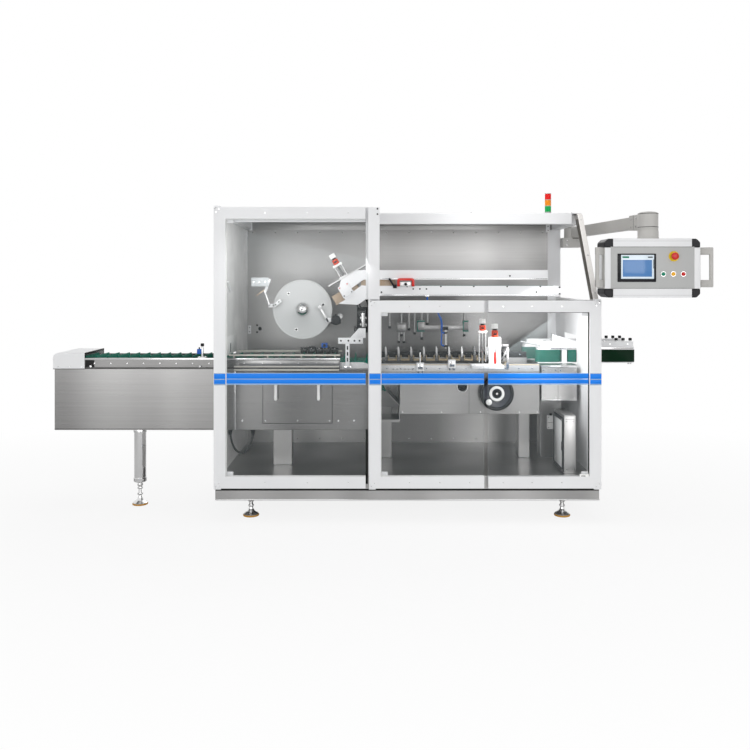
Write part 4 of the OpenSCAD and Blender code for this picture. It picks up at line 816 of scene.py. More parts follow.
def frame_trim():
    trim = Piece("frame_seams_and_gap_shade", "black_plastic", seal)
    # A black strip in the gap between the left door and the middle post: painted shade.
    trim.add(block((854, 867), (41.5, 43), (205, 515), 0.4))
    trim.add(block((932, 2148), (43.2, 82), (1246, 1247.2), 0.3))
    trim.screws(0, spots(921, 0, (1732, 1762)), radius=5, height=1.6)
    for x, z, radius in ((118, 1029, 16), (98, 1005, 10), (98, 1053, 10)):
        trim.add(turned([(0, 0), (radius, 0), (radius, 1.6), (0, 1.6)], (x, WALL_OUT, z), BACK, 24))
    trim.done()
    caps = Piece("frame_fixings", "bright_steel", chrome)
    caps.screws(0, spots(0, (63, 993), LEVELS), LEFT, 5)
    caps.screws(0, spots(2180, 993, LEVELS) + spots(2180, 63, LEVELS[:3]), RIGHT, 5)
    caps.screws(0, spots((30, 890, 1500, 2120), (430, 690, 970), 1775) + spots((30, 470, 890), 70, 1775), UP, 5)
    caps.done()
    rivets = Piece("wall_rivets", "stainless", polished)
    along, deep = range(70, 2060, 153), range(120, 905, 112)
    for places, way in ((spots(along, WALL_IN, (275, 1690)), FRONT), (spots(along, WALL_OUT, (275, 1690)), BACK),
                        (spots(30, deep, 290), LEFT), (spots(2150, deep, 290), RIGHT)):
        for at in places:
            rivets.add(turned(RIVET, at, way, 12))
    rivets.done()


# Posts of the frame, without the slim one that the photo does not show between the low doors
def posts():
    front, back, tall = (43, 83), (973, 1013), (250, 1707)
    uprights = Piece("frame_uprights", "white_paint", white)
    uprights.blocks(0, 3, ((0, 60), front, tall), ((0, 60), back, tall), ((868, 933), front, tall),
                    ((868, 933), (0, 42.7), (1252, 1772)), ((2120, 2180), front, (250, 1246)),
                    ((2090, 2180), back, tall))
    uprights.done("frame_posts")


# Inner wall strip, top rail's lower edge, corner brackets, latch and the flap over the infeed opening
def wall_trim():
    wall = Piece("wall_top_strip", "stainless", wall_steel)
    wall.add(block((34, 2118), (970.2, 972.8), (1706, 1771), 0.4))
    wall.done()
    lip = Piece("top_rail_lip", "white_paint", white)
    lip.add(block((62, 864), (44, 64), (1691, 1707), 1.5))
    lip.add(rod((39, 215, 1352), (39, 300, 1296), 7))
    lip.add(block((855, 868), (30, 42.7), (1252, 1771), 0.5))
    lip.done()
    flap = Piece("infeed_flap", "stainless", side_grey, seal)
    flap.add(block((33, 34.5), (182, 538), (915, 1024), 0.4))
    flap.add(block((34.5, 36.5), (322, 334), (928, 981), 0.4), 1)
    flap.done()
    brackets = Piece("corner_brackets", "white_paint", white, seal)
    for x, z in (((44, 66), (1702, 1756)), ((36, 58), (994, 1052)), ((2080, 2106), (1690, 1744))):
        brackets.add(block(x, (967, WALL_IN), z, 0.8))
        brackets.screws(1, [(sum(x) / 2, 967, z[0] + part * (z[1] - z[0])) for part in (0.25, 0.75)], FRONT, 3.5)
    brackets.add(block((33, 36), (930, 966), (1640, 1692), 0.8))
    brackets.screws(1, spots(36, 948, (1653, 1679)), RIGHT, 3.5)
    brackets.done()


frame_trim()
posts()
wall_trim()

# Left bay
REEL = (460, 430, 1181)
FLANGE = [(18, -8), (181, -8), (184, -6.5), (184, -1.5), (182, 0), (176, 0), (175, -0.8), (60, -0.8), (58, 0), (40, 0),
          (18, 0), (18, -8)]
REEL_CAP = [(18, -0.5), (41, -0.5), (42, 1.5), (42, 12), (40, 15), (37, 22), (30, 31), (21, 36.5), (12, 39.5), (8, 40),
            (8, 37), (0, 36.5)]


def reel_face():
    """Turned disc: fine rings round the reel's centre."""
    face = Finish("turned_reel_face", Metallic=0.4)
    spot = face.node("Mapping", {}, {"Vector": face.place(), "Location": tuple(-metres(*REEL))})
    rings = face.node("TexWave", {"wave_type": "RINGS", "rings_direction": "Y"},
                      {"Vector": spot, "Scale": 90, "Distortion": 0.4})
    cloud = face.grain((3, 3, 3), 3)
    shade = face.mix(rings * 0.5 + cloud * 0.5, (0.50, 0.51, 0.51, 1), (0.60, 0.61, 0.61, 1))
    return face.feed(Base_Color=shade, Roughness=face.span(rings, 0.5, 0.58), Normal=face.bump(rings, 0.00003))


def reel():
    flange = Piece("reel_flange", "bare_aluminium", reel_face(), chrome, seal, polished, body="reel")
    flange.add(turned(FLANGE, REEL, FRONT, 72))
    flange.add(turned(REEL_CAP, REEL, FRONT, 48), 1)
    flange.add(turned([(0, 36.8), (7.6, 36.8), (7.6, 36.4), (0, 36.4)], REEL, FRONT, 24), 2)
    for a in (-131.5, -13, 107.3):
        hole = Vector(REEL) + Matrix.Rotation(math.radians(a), 3, "Y") @ Vector((130, 0, 0))
        for depth, way in ((0.8, FRONT), (8.0, BACK)):
            at = hole + Vector((0, depth, 0))
            flange.add(ring(at, way, 7, 9.5, 0.9, 20), 3)
            flange.add(disc(at, way, 7, 0.3, 20), 2)
    flange.done("reel_disc")


BRAKE = [(0, 21), (24, 21), (28, 19), (30, 15), (30, 4), (27, 0), (0, 0)]
BRAKE_LOBE = [(0, 18), (4, 17), (6.5, 14), (6.5, 4), (5, 1), (0, 1)]


def dancer():
    arm = Piece("dancer_and_brake", "bare_aluminium", chrome, white, acrylic, copper, black, seal, aluminium)
    y0, y1 = flat = (394, 402)
    foot, bend, head = Vector((260, 1210)), Vector((233, 1287)), Vector((262, 1369))
    x, z = 668, 1117
    for a, b in (foot, (x, z)):
        arm.add(rod((a, y0, b), (a, WALL_IN, b), 7))
        arm.add(ring((a, WALL_IN - 2, b), FRONT, 6, 18, 8))
    arm.add(strip(foot + Vector((-6, -6)), foot + Vector((30, -4)), 22, flat), 1)
    arm.add(strip(foot + Vector((24, -10)), foot + Vector((70, 28)), 20, flat), 1)
    for dx, dz in ((38, 2), (58, 18)):
        arm.add(disc((foot.x + dx, y0, foot.y + dz), FRONT, 4, 0.4, 16), 5)
    arm.add(strip(bend, head, 16, flat), 1)
    arm.add(strip(bend + Vector((-2, 16)), bend + Vector((-54, -22)), 5, (y0, y1 + 8), ease=0.5), 3)
    arm.add(rod((foot.x, y0 + 4, foot.y), (bend.x, y0 + 4, bend.y), 6))
    arm.add(block((head.x - 112, head.x - 8), (y0 - 10, y1 + 14), (head.y - 46, head.y + 8), 3), 2)
    arm.screws(0, [(bend.x, y0, bend.y + 4), (head.x - 4, y0, head.y - 12),
                   *spots((head.x - 96, head.x - 26), y0 - 10, head.y - 18)], radius=5)
    arm.add(rod((head.x - 60, y0 - 16, head.y - 20), (head.x - 60, y1 + 20, head.y - 20), 5))
    arm.add(turned(BRAKE, (x, y0, z), FRONT, 40), 4)
    for a in (90, 210, 330):
        at = (x + 30 * math.cos(math.radians(a)), y0, z + 30 * math.sin(math.radians(a)))
        arm.add(turned(BRAKE_LOBE, at, FRONT, 20), 4)
    arm.add(strip((x, z), (x - 62, z + 2), 26, flat), 1)
    arm.add(strip((x - 44, z - 18), (x - 96, z + 76), 12, flat), 6)
    arm.add(turned([(0, 22), (8, 22), (11, 19), (11, -8), (0, -8)], (x - 98, y0, z + 78), FRONT, 24), 1)
    arm.screws(0, [(x - 98, y0 - 22, z + 78)], radius=4.5)
    arm.done("dancer_arm")


def label_unit():
    x, z, low = 690, 986, 839
    y0, y1 = flat = (212, 224)
    unit = Piece("label_bracket", "white_paint", white, seal, chrome, black, blue, dark_steel, polished)
    unit.blocks(0, 1, ((x + 43, x + 67), flat, (low, z + 1)), ((x, x + 146), flat, (z, z + 35)))
    unit.blocks(1, 0.3, *(((x + 51, x + 59), (y0 - 0.5, y1 + 0.5), (low + part * 140, low + 22 + part * 140))
                          for part in (0.3, 0.55, 0.8)))
    unit.add(block((x + 36, x + 78), (y0 - 6, y1 + 6), (low, 855), 1.5), 2)
    unit.screws(2, [(x + 57, y0 - 6, 847)], radius=5)
    for at in (16, 60, 96, 126):
        unit.add(disc((x + at, y0, z + 18), FRONT, 5, 0.4, 16), 1)
        unit.add(ring((x + at, y0, z + 18), FRONT, 5, 6.5, 0.5, 16), 2)
    gusset = [(x + 70, z + 34), (x + 146, z + 34), (x + 162, z + 35), (x + 162, z + 92), (x + 122, z + 92)]
    unit.add(plate(gusset, flat))
    unit.add(block((x + 136, x + 160), (y0, y1 + 120), (z + 91, z + 190), 1.5), 5)
    for at in (z + 112, z + 150):
        unit.add(rod((x + 128, y0 + 30, at), (x + 166, y0 + 30, at), 8), 2)
        unit.add(rod((x + 148, y0 - 3, at + 14), (x + 148, y0, at + 14), 6), 2)
    unit.add(rod((x + 148, y1 + 40, z + 40), (x + 148, y1 + 40, z + 92), 7), 2)
    unit.add(block((x + 139, x + 157), (y0 - 2, y0), (z + 100, z + 182), 0.6), 6)
    for k in range(5):
        a = x - 246 + k * 48
        unit.add(block((a, a + 42), (465, 520), (906, 940 + k % 2 * 7), 3), 3)
        unit.add(block((a + 6, a + 36), (463.5, 465), (914, 934), 0.6), 5)
        unit.screws(2, [(a + 20, 463.5, 937)], radius=3)
    unit.add(block((x - 116, x - 78), (455, 500), (942, 970), 3), 4)
    unit.add(rod((x - 97, 455, 956), (x - 97, 451, 956), 9), 1)
    unit.done("label_head")


def folding_drive():
    drive = Piece("folding_drive", "black_plastic", black, dark_steel, chrome, white_plastic)
    drive.add(block((790, 862), (690, 760), (1020, 1185), 5))
    drive.add(block((770, 792), (700, 740), (985, 1060), 3), 1)
    drive.add(rod((812, 690, 1148), (812, 664, 1148), 20, 2, 28), 1)
    drive.add(rod((842, 690, 1070), (842, 650, 1070), 13, 2, 24), 2)
    drive.add(block((822, 846), (678, 690), (1092, 1128), 2), 3)
    for shift in (0, 16):
        drive.add(pipe([(796 + shift, 720, 1184), (790 + shift, 712, 1216), (806 + shift, 706, 1240),
                        (846, 716, 1232 + shift), (864, 740, 1196)], 5))
    drive.done()


def access_trim():
    trim = Piece("access_panel_trim", "black_plastic", seal, chrome, polished)
    (x0, x1), (z0, z1) = (250, 654), (522, 770)
    trim.blocks(0, 0.5, *(((a, a + 3), (197, 200), (z0 - 3, z1 + 3)) for a in (x0 - 3, x1)),
                *(((x0, x1), (197, 200), (a, a + 3)) for a in (z0 - 3, z1)))
    trim.screws(1, spots((x0 + 14, (x0 + x1) / 2, x1 - 14), 196, (z0 + 14, z1 - 14)))
    trim.screws(1, spots((128.6, 692.6, 783.6), 200, 536), radius=6)
    trim.add(block((79, 88), (198.6, 200), (482, 826), 0.5), 2)
    trim.done()
    (x0, x1), (y0, y1), (z0, z1) = drawn("access_handles")
    grips = Piece("access_handle_grips", "white_paint", handle_white, chrome)
    tall = z1 - z0
    end = [(0, 0), (5, 0.8), (8.4, 4), (9.5, 9)]
    grip = end + [(radius, tall - height) for radius, height in reversed(end)]
    for a in (x0 + 7, x1 - 7):
        grips.add(turned(grip, (a, y0 + 9.5, z0), steps=24))
        for b in (z0 + 10, z1 - 10):
            grips.add(rod((a, y0 + 9, b), (a, y1, b), 6))
            grips.add(ring((a, y1, b), FRONT, 5.5, 10, 3), 1)
    grips.done("access_handles")


reel()
dancer()
label_unit()
folding_drive()
access_trim()

# Right bay
CHAIN_Y, TRACK_TOP, BED_TOP = 570, 866, 813
BED_X, BED_END, BED_Y = 937, 1879, 230


def adjuster(piece, height, width, place):
    """A hand adjuster: foot, twin rods, screw, bridge, counter and fluted knob."""
    head = height - 84
    rods = (-0.36 * width, 0.36 * width)
    across = (-width / 2, width / 2)
    piece.add(block(across, (-14, 14), (0, 8), 1), 1, place)
    for x in rods:
        piece.add(rod((x, 0, 7), (x, 0, head + 1), 5), 2, place)
    piece.add(threads((0, 0, 8), UP, 7, head - 8, 3.5, 16), 2, place)
    piece.add(block(across, (-14, 14), (head, head + 14), 1.5), 0, place)
    piece.screws(2, spots(rods, 0, head + 14), UP, 5, place=place)
    counter(piece, head + 13, height, place)


def counter(piece, low, high, place):
    """Counter with a dark window, black collar and white knob on an adjuster."""
    top = high - 38
    middle = (low + top) / 2
    profile = [(0, low), (17, low), (19, low + 2), (19, top - 2), (17, top), (0, top)]
    piece.add(turned(profile, (0, 0, 0), steps=32), 3, place)
    piece.add(block((-9, 9), (-20, -16), (middle - 5, middle + 5), 1), 4, place)
    piece.add(rod((0, 0, high - 39), (0, 0, high - 26), 12), 4, place)
    piece.add(knob((0, 0, high - 27), UP, 19, 26), 0, place)


def adjusting_screws():
    kit = Piece("hand_adjusters", "white_paint", white_plastic, aluminium, chrome, counter_red, black, white, red,
                polished)
    cover = Matrix.Translation((629, 437, 1322)) @ Matrix.Rotation(math.radians(-30), 4, "Y")
    adjuster(kit, 160, 62, cover @ Matrix.Translation((106, 0, 8)))
    adjuster(kit, 316, 54, Matrix.Translation((BED_X + 615, BED_Y + 70, BED_TOP)))
    at = Matrix.Translation((BED_X + 669, BED_Y - 60, TRACK_TOP))
    kit.add(block((-34, 34), (-14, 14), (0, 162), 2), 5, at)
    kit.add(block((-4, 4), (-14.6, -13), (54, 138), 0.4), 4, at)
    kit.add(block((-8, 8), (-18, -13), (8, 76), 1.2), 6, at)
    kit.screws(2, spots((-24, 24), -14, (20, 150)), place=at)
    counter(kit, 161, 240, at)
    kit.add(block((-136, 47), (-40, 60), (-18, 1), 1.5), 5, at)
    kit.screws(2, spots((-120, -80, 38), -28, 1), UP, 5, place=at)
    kit.blocks(7, 1.2, ((33, 80), (-4, 6), (106, 122)), ((66, 80), (-14, -3), (-28, 107)), place=at)
    kit.add(ring((73, -14, 90), FRONT, 4, 9, 2, 20), 2, at)
    kit.add(block((74, 79), (-4, 6), (90, 107), 0.6), 7, at)
    face, middle = BED_Y - 26, BED_Y - 13
    for x, low, tall in ((BED_X + 215, BED_TOP + 12, TRACK_TOP + 8), (BED_X + 401, BED_TOP + 30, TRACK_TOP + 26)):
        kit.add(block((x, x + 44), (face, BED_Y), (low, tall), 1.5), 5)
        kit.add(block((x + 8, x + 36), (face - 0.6, face), (low + 8, tall - 8), 0.3), 7)
        for dx in (10, 35):
            kit.add(rod((x + dx, middle, low - 13), (x + dx, middle, low + 1), 6), 2)
        kit.screws(2, [(x + 22, face, (low + tall) / 2)], radius=6)
    x = BED_X + 236
    kit.add(rod((x, middle, TRACK_TOP + 7), (x, middle, TRACK_TOP + 84), 5), 2)
    kit.add(knob((x, middle, TRACK_TOP + 70), UP, 8, 14, 12), 4)
    kit.done("adjusters")


ROD_CAP = [(0, 0), (8, 0), (9, 3), (9, 14), (6, 16), (0, 16)]
FINGER_CAP = [(0, 0), (9, 0), (10, 2), (10, 8), (5, 12), (0, 12)]


def pusher():
    y, low = CHAIN_Y, 964
    beam, beam_z = (BED_X + 48, BED_X + 585), (1180, 1216)
    unit = Piece("pusher_and_gripper", "bare_aluminium", bed_steel, stainless, shaded_bay_steel, green_belt, black, blue,
                 bed_steel)
    unit.add(block(beam, (y - 15, y + 15), beam_z, 2))
    unit.blocks(4, 0.2, *(((beam[0] + 4, beam[1] - 4), (y - 15.8, y - 14.5), (z - 1.5, z + 1.5)) for z in (1189, 1207)))
    for x in (beam[0] + 60, beam[1] - 100):
        unit.blocks(0, 2, ((x, x + 40), (y + 14, WALL_IN), beam_z), ((x - 15, x + 55), (960, WALL_IN), (1168, 1228)))
    for dx, dz in ((63, 90), (138, 40), (186, 78), (222, 52), (266, 20), (303, 112), (536, 40)):
        x = BED_X + dx
        unit.add(rod((x, y, low + dz), (x, y, beam_z[0] + 1), 6), 1)
        unit.add(ring((x, y, 1164), UP, 5, 12, 16, 20), 2)
        unit.add(turned(ROD_CAP, (x, y, low + dz), steps=18), 4)
    unit.add(block((BED_X + 109, BED_X + 167), (y - 18, y + 18), (low + 68, low + 126), 2), 2)
    unit.add(block((BED_X + 116, BED_X + 160), (y - 19, y - 17), (low + 80, low + 114), 0.6), 6)
    for x in (BED_X + 122, BED_X + 154):
        unit.add(rod((x, y, low), (x, y, low + 70), 5), 1)
        unit.screws(1, [(x, y - 19, low + 97)])
        unit.add(turned(FINGER_CAP, (x, y, low), steps=20), 4)
    for x0, x1 in ((BED_X + 236, BED_X + 284), (BED_X + 526, BED_X + 560)):
        upright = (low + 78, low + 136)
        for z in ((low + 72, low + 80), (low + 134, low + 142)):
            unit.add(block((x0, x1), (y - 22, y + 22), z, 1), 2)
            unit.add(block((x0 - 1, x1 + 1), (y - 22.8, y - 21), z, 0.4), 3)
        unit.blocks(2, 1, *(((x0, x1), (side, side + 6), upright) for side in (y - 22, y + 16)))
        unit.add(block((x0 - 1, x0 + 5), (y - 22.8, y - 21), upright, 0.4), 3)
    unit.add(block((BED_X + 283, BED_X + 527), (y - 22, y - 8), (low + 84, low + 112), 2))
    unit.screws(1, spots([BED_X + dx for dx in (310, 360, 460, 500)], y - 22, low + 98), radius=4.5)
    x = BED_X + 414
    unit.add(block((x - 16, x + 16), (y - 60, y - 21), (low + 84, low + 104), 2), 4)
    for start, end, radius, ease, steps, finish in ((-22, 92, 10, 2, 28, 1), (-22, -10, 11.5, 1, 28, 4),
                                                    (60, 72, 11.5, 1, 28, 4), (-34, -20, 5, 0.8, 20, 1)):
        unit.add(rod((x, y - 48, low + start), (x, y - 48, low + end), radius, ease, steps), finish)
    for z, reach in ((low - 14, 40), (low + 66, 24)):
        unit.add(rod((x - 8, y - 50, z), (x - 18, y - 50, z), 5), 5)
        unit.add(pipe([(x - 18, y - 50, z), (x - 26, y - 50, z + 8), (x - 26, y - 46, z + 40),
                       (x - 28, y - 34, low + 116 + reach), (x - 42, y - 20, low + 180), (x - 52, y - 14, 1182)], 4), 5)
    unit.done("pusher_unit")


adjusting_screws()
pusher()

# Carton magazine
MAG_Y, MAG_Z, SLOT_Z, UP_Z, MAG_TOP = 330, 1266, 1327, 1364, 1422
MAG_SLOPE = Matrix.Rotation(math.radians(-30), 4, "Y")


def carton_stop():
    stop = Piece("carton_stop", "signal_red", red, aluminium, black, chrome)
    x0, x1, bar = 1040, 1144, 15
    foot = SLOT_Z - 4
    for x in (x0 + bar * 0.6, x1 - bar * 0.6):
        stop.add(rod((x, MAG_Y - 16, foot), (x, MAG_Y - 16, SLOT_Z + 36), 8, 1))
    half = [(0, foot), (bar, foot), (bar, SLOT_Z + 31)]
    top = [(0, SLOT_Z + 34), (5, SLOT_Z + 43), (14, SLOT_Z + 46)]
    outline = [(x0 + a, b) for a, b in half] + [(x1 - a, b) for a, b in reversed(half)]
    outline += [(x1 - a, b) for a, b in top] + [(x0 + a, b) for a, b in reversed(top)]
    stop.add(plate(outline, (MAG_Y - 30, MAG_Y), ease=2))
    stop.add(block((x0 + bar + 2, x1 - bar - 2), (MAG_Y - 10, MAG_Y), (foot, SLOT_Z + 24), 1), 1)
    stop.add(knob(((x0 + x1) / 2, MAG_Y - 10, SLOT_Z + 10), FRONT, 9, 14, 12), 2)
    stop.screws(3, spots((x0 + 28, x0 + 76), MAG_Y - 10, SLOT_Z + 4))
    stop.add(strip((x0 - 48, UP_Z + 8), (x0 - 16, SLOT_Z - 6), 12, (MAG_Y - 8, MAG_Y), ease=1), 2)
    stop.add(block((x0 - 24, x0 - 2), (MAG_Y - 14, MAG_Y), (SLOT_Z - 14, SLOT_Z + 8), 2), 2)
    stop.done("magazine_clamp")


def cartons():
    row = Piece("carton_row", "carton", carton)
    for i in range(46):
        a = 822 + i * 4.6
        row.add(block((a, a + 4), (345 + i % 3, 529 - i % 2), (1294, 1394 - (i * 7) % 3), 0.5))
    slope = Matrix.Translation((822, 0, 1294)) @ MAG_SLOPE
    for i in range(36):
        a = -170 + i * 4.7
        row.add(block((a, a + 4.1), (345 + i % 3, 529 - i % 2), (0, 62 - (i * 5) % 3), 0.5), 0, slope)
    row.done("carton_stack")


def magazine_trim():
    trim = Piece("magazine_fixings", "bright_steel", chrome, seal, green_belt, blue, polished, white, counter_red)
    trim.add(block((1140, 1985), (MAG_Y + 1, MAG_Y + 7), (SLOT_Z - 0.5, SLOT_Z + 1.8), 0.4), 2)
    trim.blocks(4, 0.4, ((868, 1950), (MAG_Y - 1.2, MAG_Y), (UP_Z + 4, UP_Z + 8)),
                ((868, 2028), (MAG_Y - 1.2, MAG_Y), (MAG_Z + 3, MAG_Z + 7)))
    trim.blocks(1, 0.3, *(((x, x + 9), (MAG_Y - 0.8, MAG_Y + 1), (SLOT_Z - 8, SLOT_Z - 1))
                          for x in (1097, 1300, 1499, 1701, 1901)))
    trim.screws(1, [(x, MAG_Y, z) for x, z in ((946, 1288), (1138, 1308), (1178, 1308), (1218, 1308), (1882, 1289),
                                               (2022, 1318), (2022, 1279), (1722, 1387))], radius=5)
    trim.screws(0, spots((960, 1300, 1640, 1900), 544, MAG_TOP - 22), BACK, 5)
    trim.add(rod((1222, MAG_Y - 10, MAG_Z - 4), (1222, MAG_Y - 10, MAG_Z - 26), 5), 3)
    trim.add(block((1212, 1232), (MAG_Y - 16, MAG_Y), (MAG_Z - 6, MAG_Z + 6), 1))
    head = Matrix.Translation((690, 0, MAG_Z + 41)) @ MAG_SLOPE
    trim.add(block((-4, 68), (MAG_Y - 9, MAG_Y - 6), (-62, 12), 0.8), 5, head)
    for finish, z in ((1, -52), (6, 3)):
        trim.screws(finish, spots((6, 58), MAG_Y - 9, z), place=head)
    trim.done()


carton_stop()
cartons()
magazine_trim()


def lug_guides():
    guides = Piece("chain_side_guides", "black_plastic", black, tan, chrome, seal)
    guides.blocks(0, 1, ((BED_X + 2, BED_END - 2), (613, 627), (TRACK_TOP, TRACK_TOP + 38)),
                  ((BED_X + 2, BED_END - 2), (249, 262), (TRACK_TOP - 16, TRACK_TOP - 2)))
    guides.add(block((BED_X, BED_END), (BED_Y - 1.4, BED_Y), (TRACK_TOP - 8, TRACK_TOP - 3), 0.4), 1)
    guides.add(block((BED_X, BED_END), (BED_Y - 1.4, BED_Y), (BED_TOP + 3, BED_TOP + 6), 0.3), 3)
    along = range(BED_X + 40, BED_X + 899, 78)
    guides.screws(2, spots(along, 613, TRACK_TOP + 20))
    guides.screws(2, spots(along, BED_Y, TRACK_TOP - 28), radius=3.6)
    guides.done()
    drive = Piece("bed_fixings", "bright_steel", chrome, seal, polished)
    x, z = BED_X + 487, 570 + 243 * 0.66
    drive.add(ring((x, BED_Y, z), FRONT, 29, 33, 1.4, 40), 2)
    drive.add(turned([(0, 0), (29, 0), (29, 1), (0, 1)], (x, BED_Y + 30, z), FRONT, 40), 1)
    drive.screws(0, spots((1070, 1300, 1530, 1760, 1866), BED_Y, 582) + spots((1070, 1866), BED_Y, 800), radius=4.5)
    drive.add(block((1462, 1463.5), (BED_Y - 0.6, BED_Y), (572, 811), 0.1), 1)
    drive.done()


def chute_guides():
    guides = Piece("chute_guides", "green_belt", green_belt)
    for outline in ([(944, 742), (958, 730), (975, 697), (964, 694), (950, 706), (944, 716)],
                    [(944, 808), (972, 806), (970, 826), (952, 822)]):
        guides.add(plate(outline, (292, 296), ease=0.8))
    guides.done()


WHEEL = (1621, 230, 696)
RIM_R, RIM_OUT, RIM_AWAY = 11, 90, 38
SPOKES = [(10, 14), (36, 14), (44, 20), (44, 26), (90, 34), (90, 42), (44, 36), (44, 44), (10, 44), (10, 14)]
DIAL = [(29, 40), (44, 40), (44, 46), (42, 48), (31, 48), (29, 46), (29, 40)]
CRANK_BALL = [(0, 22), (10, 21.5), (16, 18), (18, 12), (17, 4), (13, 0), (0, 0)]


def handwheel():
    x, y, z = WHEEL
    wheel = Piece("crank_handwheel", "black_plastic", gloss_black, slate, white_plastic, chrome,
                  body="hand_wheel")
    wheel.add(rod((x, y + 36, z), (x, y - 16, z), 10), 3)
    wheel.add(turned(SPOKES, WHEEL, FRONT, 48), 1)
    rim = [(RIM_OUT + RIM_R * math.cos(a), RIM_AWAY + RIM_R * math.sin(a))
           for a in map(math.radians, range(0, 361, 24))]
    wheel.add(turned(rim, WHEEL, FRONT, 64))
    wheel.add(turned(DIAL, WHEEL, FRONT, 48), 2)
    wheel.add(turned([(0, 44), (22, 44), (28.6, 41), (28.6, 40), (0, 40)], WHEEL, FRONT, 40))
    wheel.screws(3, [(x, y - 44, z)], radius=7)
    pin = Vector(WHEEL) + Matrix.Rotation(math.radians(138), 3, "Y") @ Vector((68.7, 0, 0))
    near, far = pin - Vector((0, 34, 0)), pin - Vector((0, 62, 0))
    wheel.add(rod(near, far, 7), 3)
    wheel.add(turned(CRANK_BALL, far, FRONT, 32), 2)
    wheel.done("handwheel")


lug_guides()
chute_guides()
handwheel()

# Outfeed
GRIP_Y, GRIP_Z, RAIL_TOP_Z = (435, 645), (856, 932), 982
BELT_END, BELT_SHADE_X = 2517, 2150
BELT_RUNS = (((1901, 2061), 435), ((1856, 2061), 645), ((2097, BELT_END), 435), ((2097, BELT_END), 645))
ROLLER_R, BELT_T, BEND_STEPS = 30.0, 4.0, 7


def belt_loop(x, y):
    """A flat belt round two upright rollers."""
    shape = bmesh.new()
    far = y + 2 * ROLLER_R
    corners = ((x[0], y), (x[1], y), (x[1], far), (x[0], far))
    shape.faces.new([shape.verts.new((*corner, GRIP_Z[0])) for corner in corners])
    bmesh.ops.bevel(shape, geom=shape.verts[:], offset=ROLLER_R, affect="VERTICES", segments=BEND_STEPS, profile=0.5)
    bmesh.ops.remove_doubles(shape, verts=shape.verts, dist=0.001)
    bmesh.ops.inset_region(shape, faces=shape.faces[:], thickness=BELT_T, use_even_offset=True, use_boundary=True)
    middle = max(shape.faces, key=lambda face: len(face.verts))
    bmesh.ops.delete(shape, geom=[middle], context="FACES_ONLY")
    return grown(shape, shape.faces[:], (0, 0, GRIP_Z[1] - GRIP_Z[0]))


def grip_belts():
    """Belt loops, green inside the machine, and beyond its end panel the same belt darker as painted shade."""
    belts = Piece("grip_belt_loops", "green_belt", green_belt, shaded_belt)
    for x, y in BELT_RUNS:
        belts.add(belt_loop(x, y))
    whole = belts.mesh.verts[:] + belts.mesh.edges[:] + belts.mesh.faces[:]
    bmesh.ops.bisect_plane(belts.mesh, geom=whole, plane_co=(BELT_SHADE_X, 0, 0), plane_no=RIGHT)
    for face in belts.mesh.faces:
        face.material_index = int(face.calc_center_median().x > BELT_SHADE_X)
    belts.done("grip_belts")


def grip_rails():
    rails = Piece("grip_rail_fittings", "bare_aluminium", white, chrome, black, polished)
    end = BELT_END - ROLLER_R
    for y in GRIP_Y:
        middle = y + ROLLER_R
        rails.add(block((2064, 2094), (y + 7, y + 53), (850, 932), 1.5))
        rails.blocks(3, 0.4, *(((1990, 2500), (at, at + 1), (935, 946)) for at in (y - 5, y + 64)))
        for x in (2405, 2448, 2492):
            rails.add(rod((x, middle, 980), (x, middle, 988), 6), 1)
            rails.add(knob((x, middle, 987), UP, 10, 15, 14), 2)
        rails.screws(1, spots((1960, 2040, 2130, 2230, 2330), middle, RAIL_TOP_Z), UP, 6)
        rails.screws(1, spots((2010, 2120, 2240, 2360, 2470), y + 10, 966))
        rails.add(rod((end, middle, 851), (end, middle, 842), 12), 1)
    rails.add(plate([(2004, 981), (2143, 981), (2143, 984), (2010, 1026), (2004, 1026)], (456, 464), ease=1))
    rails.add(rod((2007, 460, 981), (2007, 460, 1030), 5), 1)
    rails.screws(1, [(2036, 456, 998)])
    rails.add(rod((1810, 452, 982), (1936, 452, 957), 5), 1)
    rails.done()


def outfeed_box():
    (x0, x1), (y0, y1), (z0, z1) = drawn("outfeed_housing")
    box = Piece("outfeed_housing_trim", "stainless", polished, chrome, seal)
    box.add(block((x0 - 1.5, x1 + 1.5), (y0 - 1.5, y0), (z1 - 14, z1 - 2), 0.5))
    box.add(block((x0 + 100, x0 + 101.5), (y0 - 0.6, y0), (z0 + 2, z1 - 16), 0.1), 2)
    box.add(block((x0 + 2, x1 - 2), (y0 - 1.2, y0), (z0 + 3, z0 + 8), 0.4))
    for y, way in ((y0, FRONT), (y1, BACK)):
        box.screws(1, spots((x0 + 14, x0 + 86, x0 + 116, x1 - 14), y, (z0 + 22, z1 - 30)), way, 4.5)
    box.done()


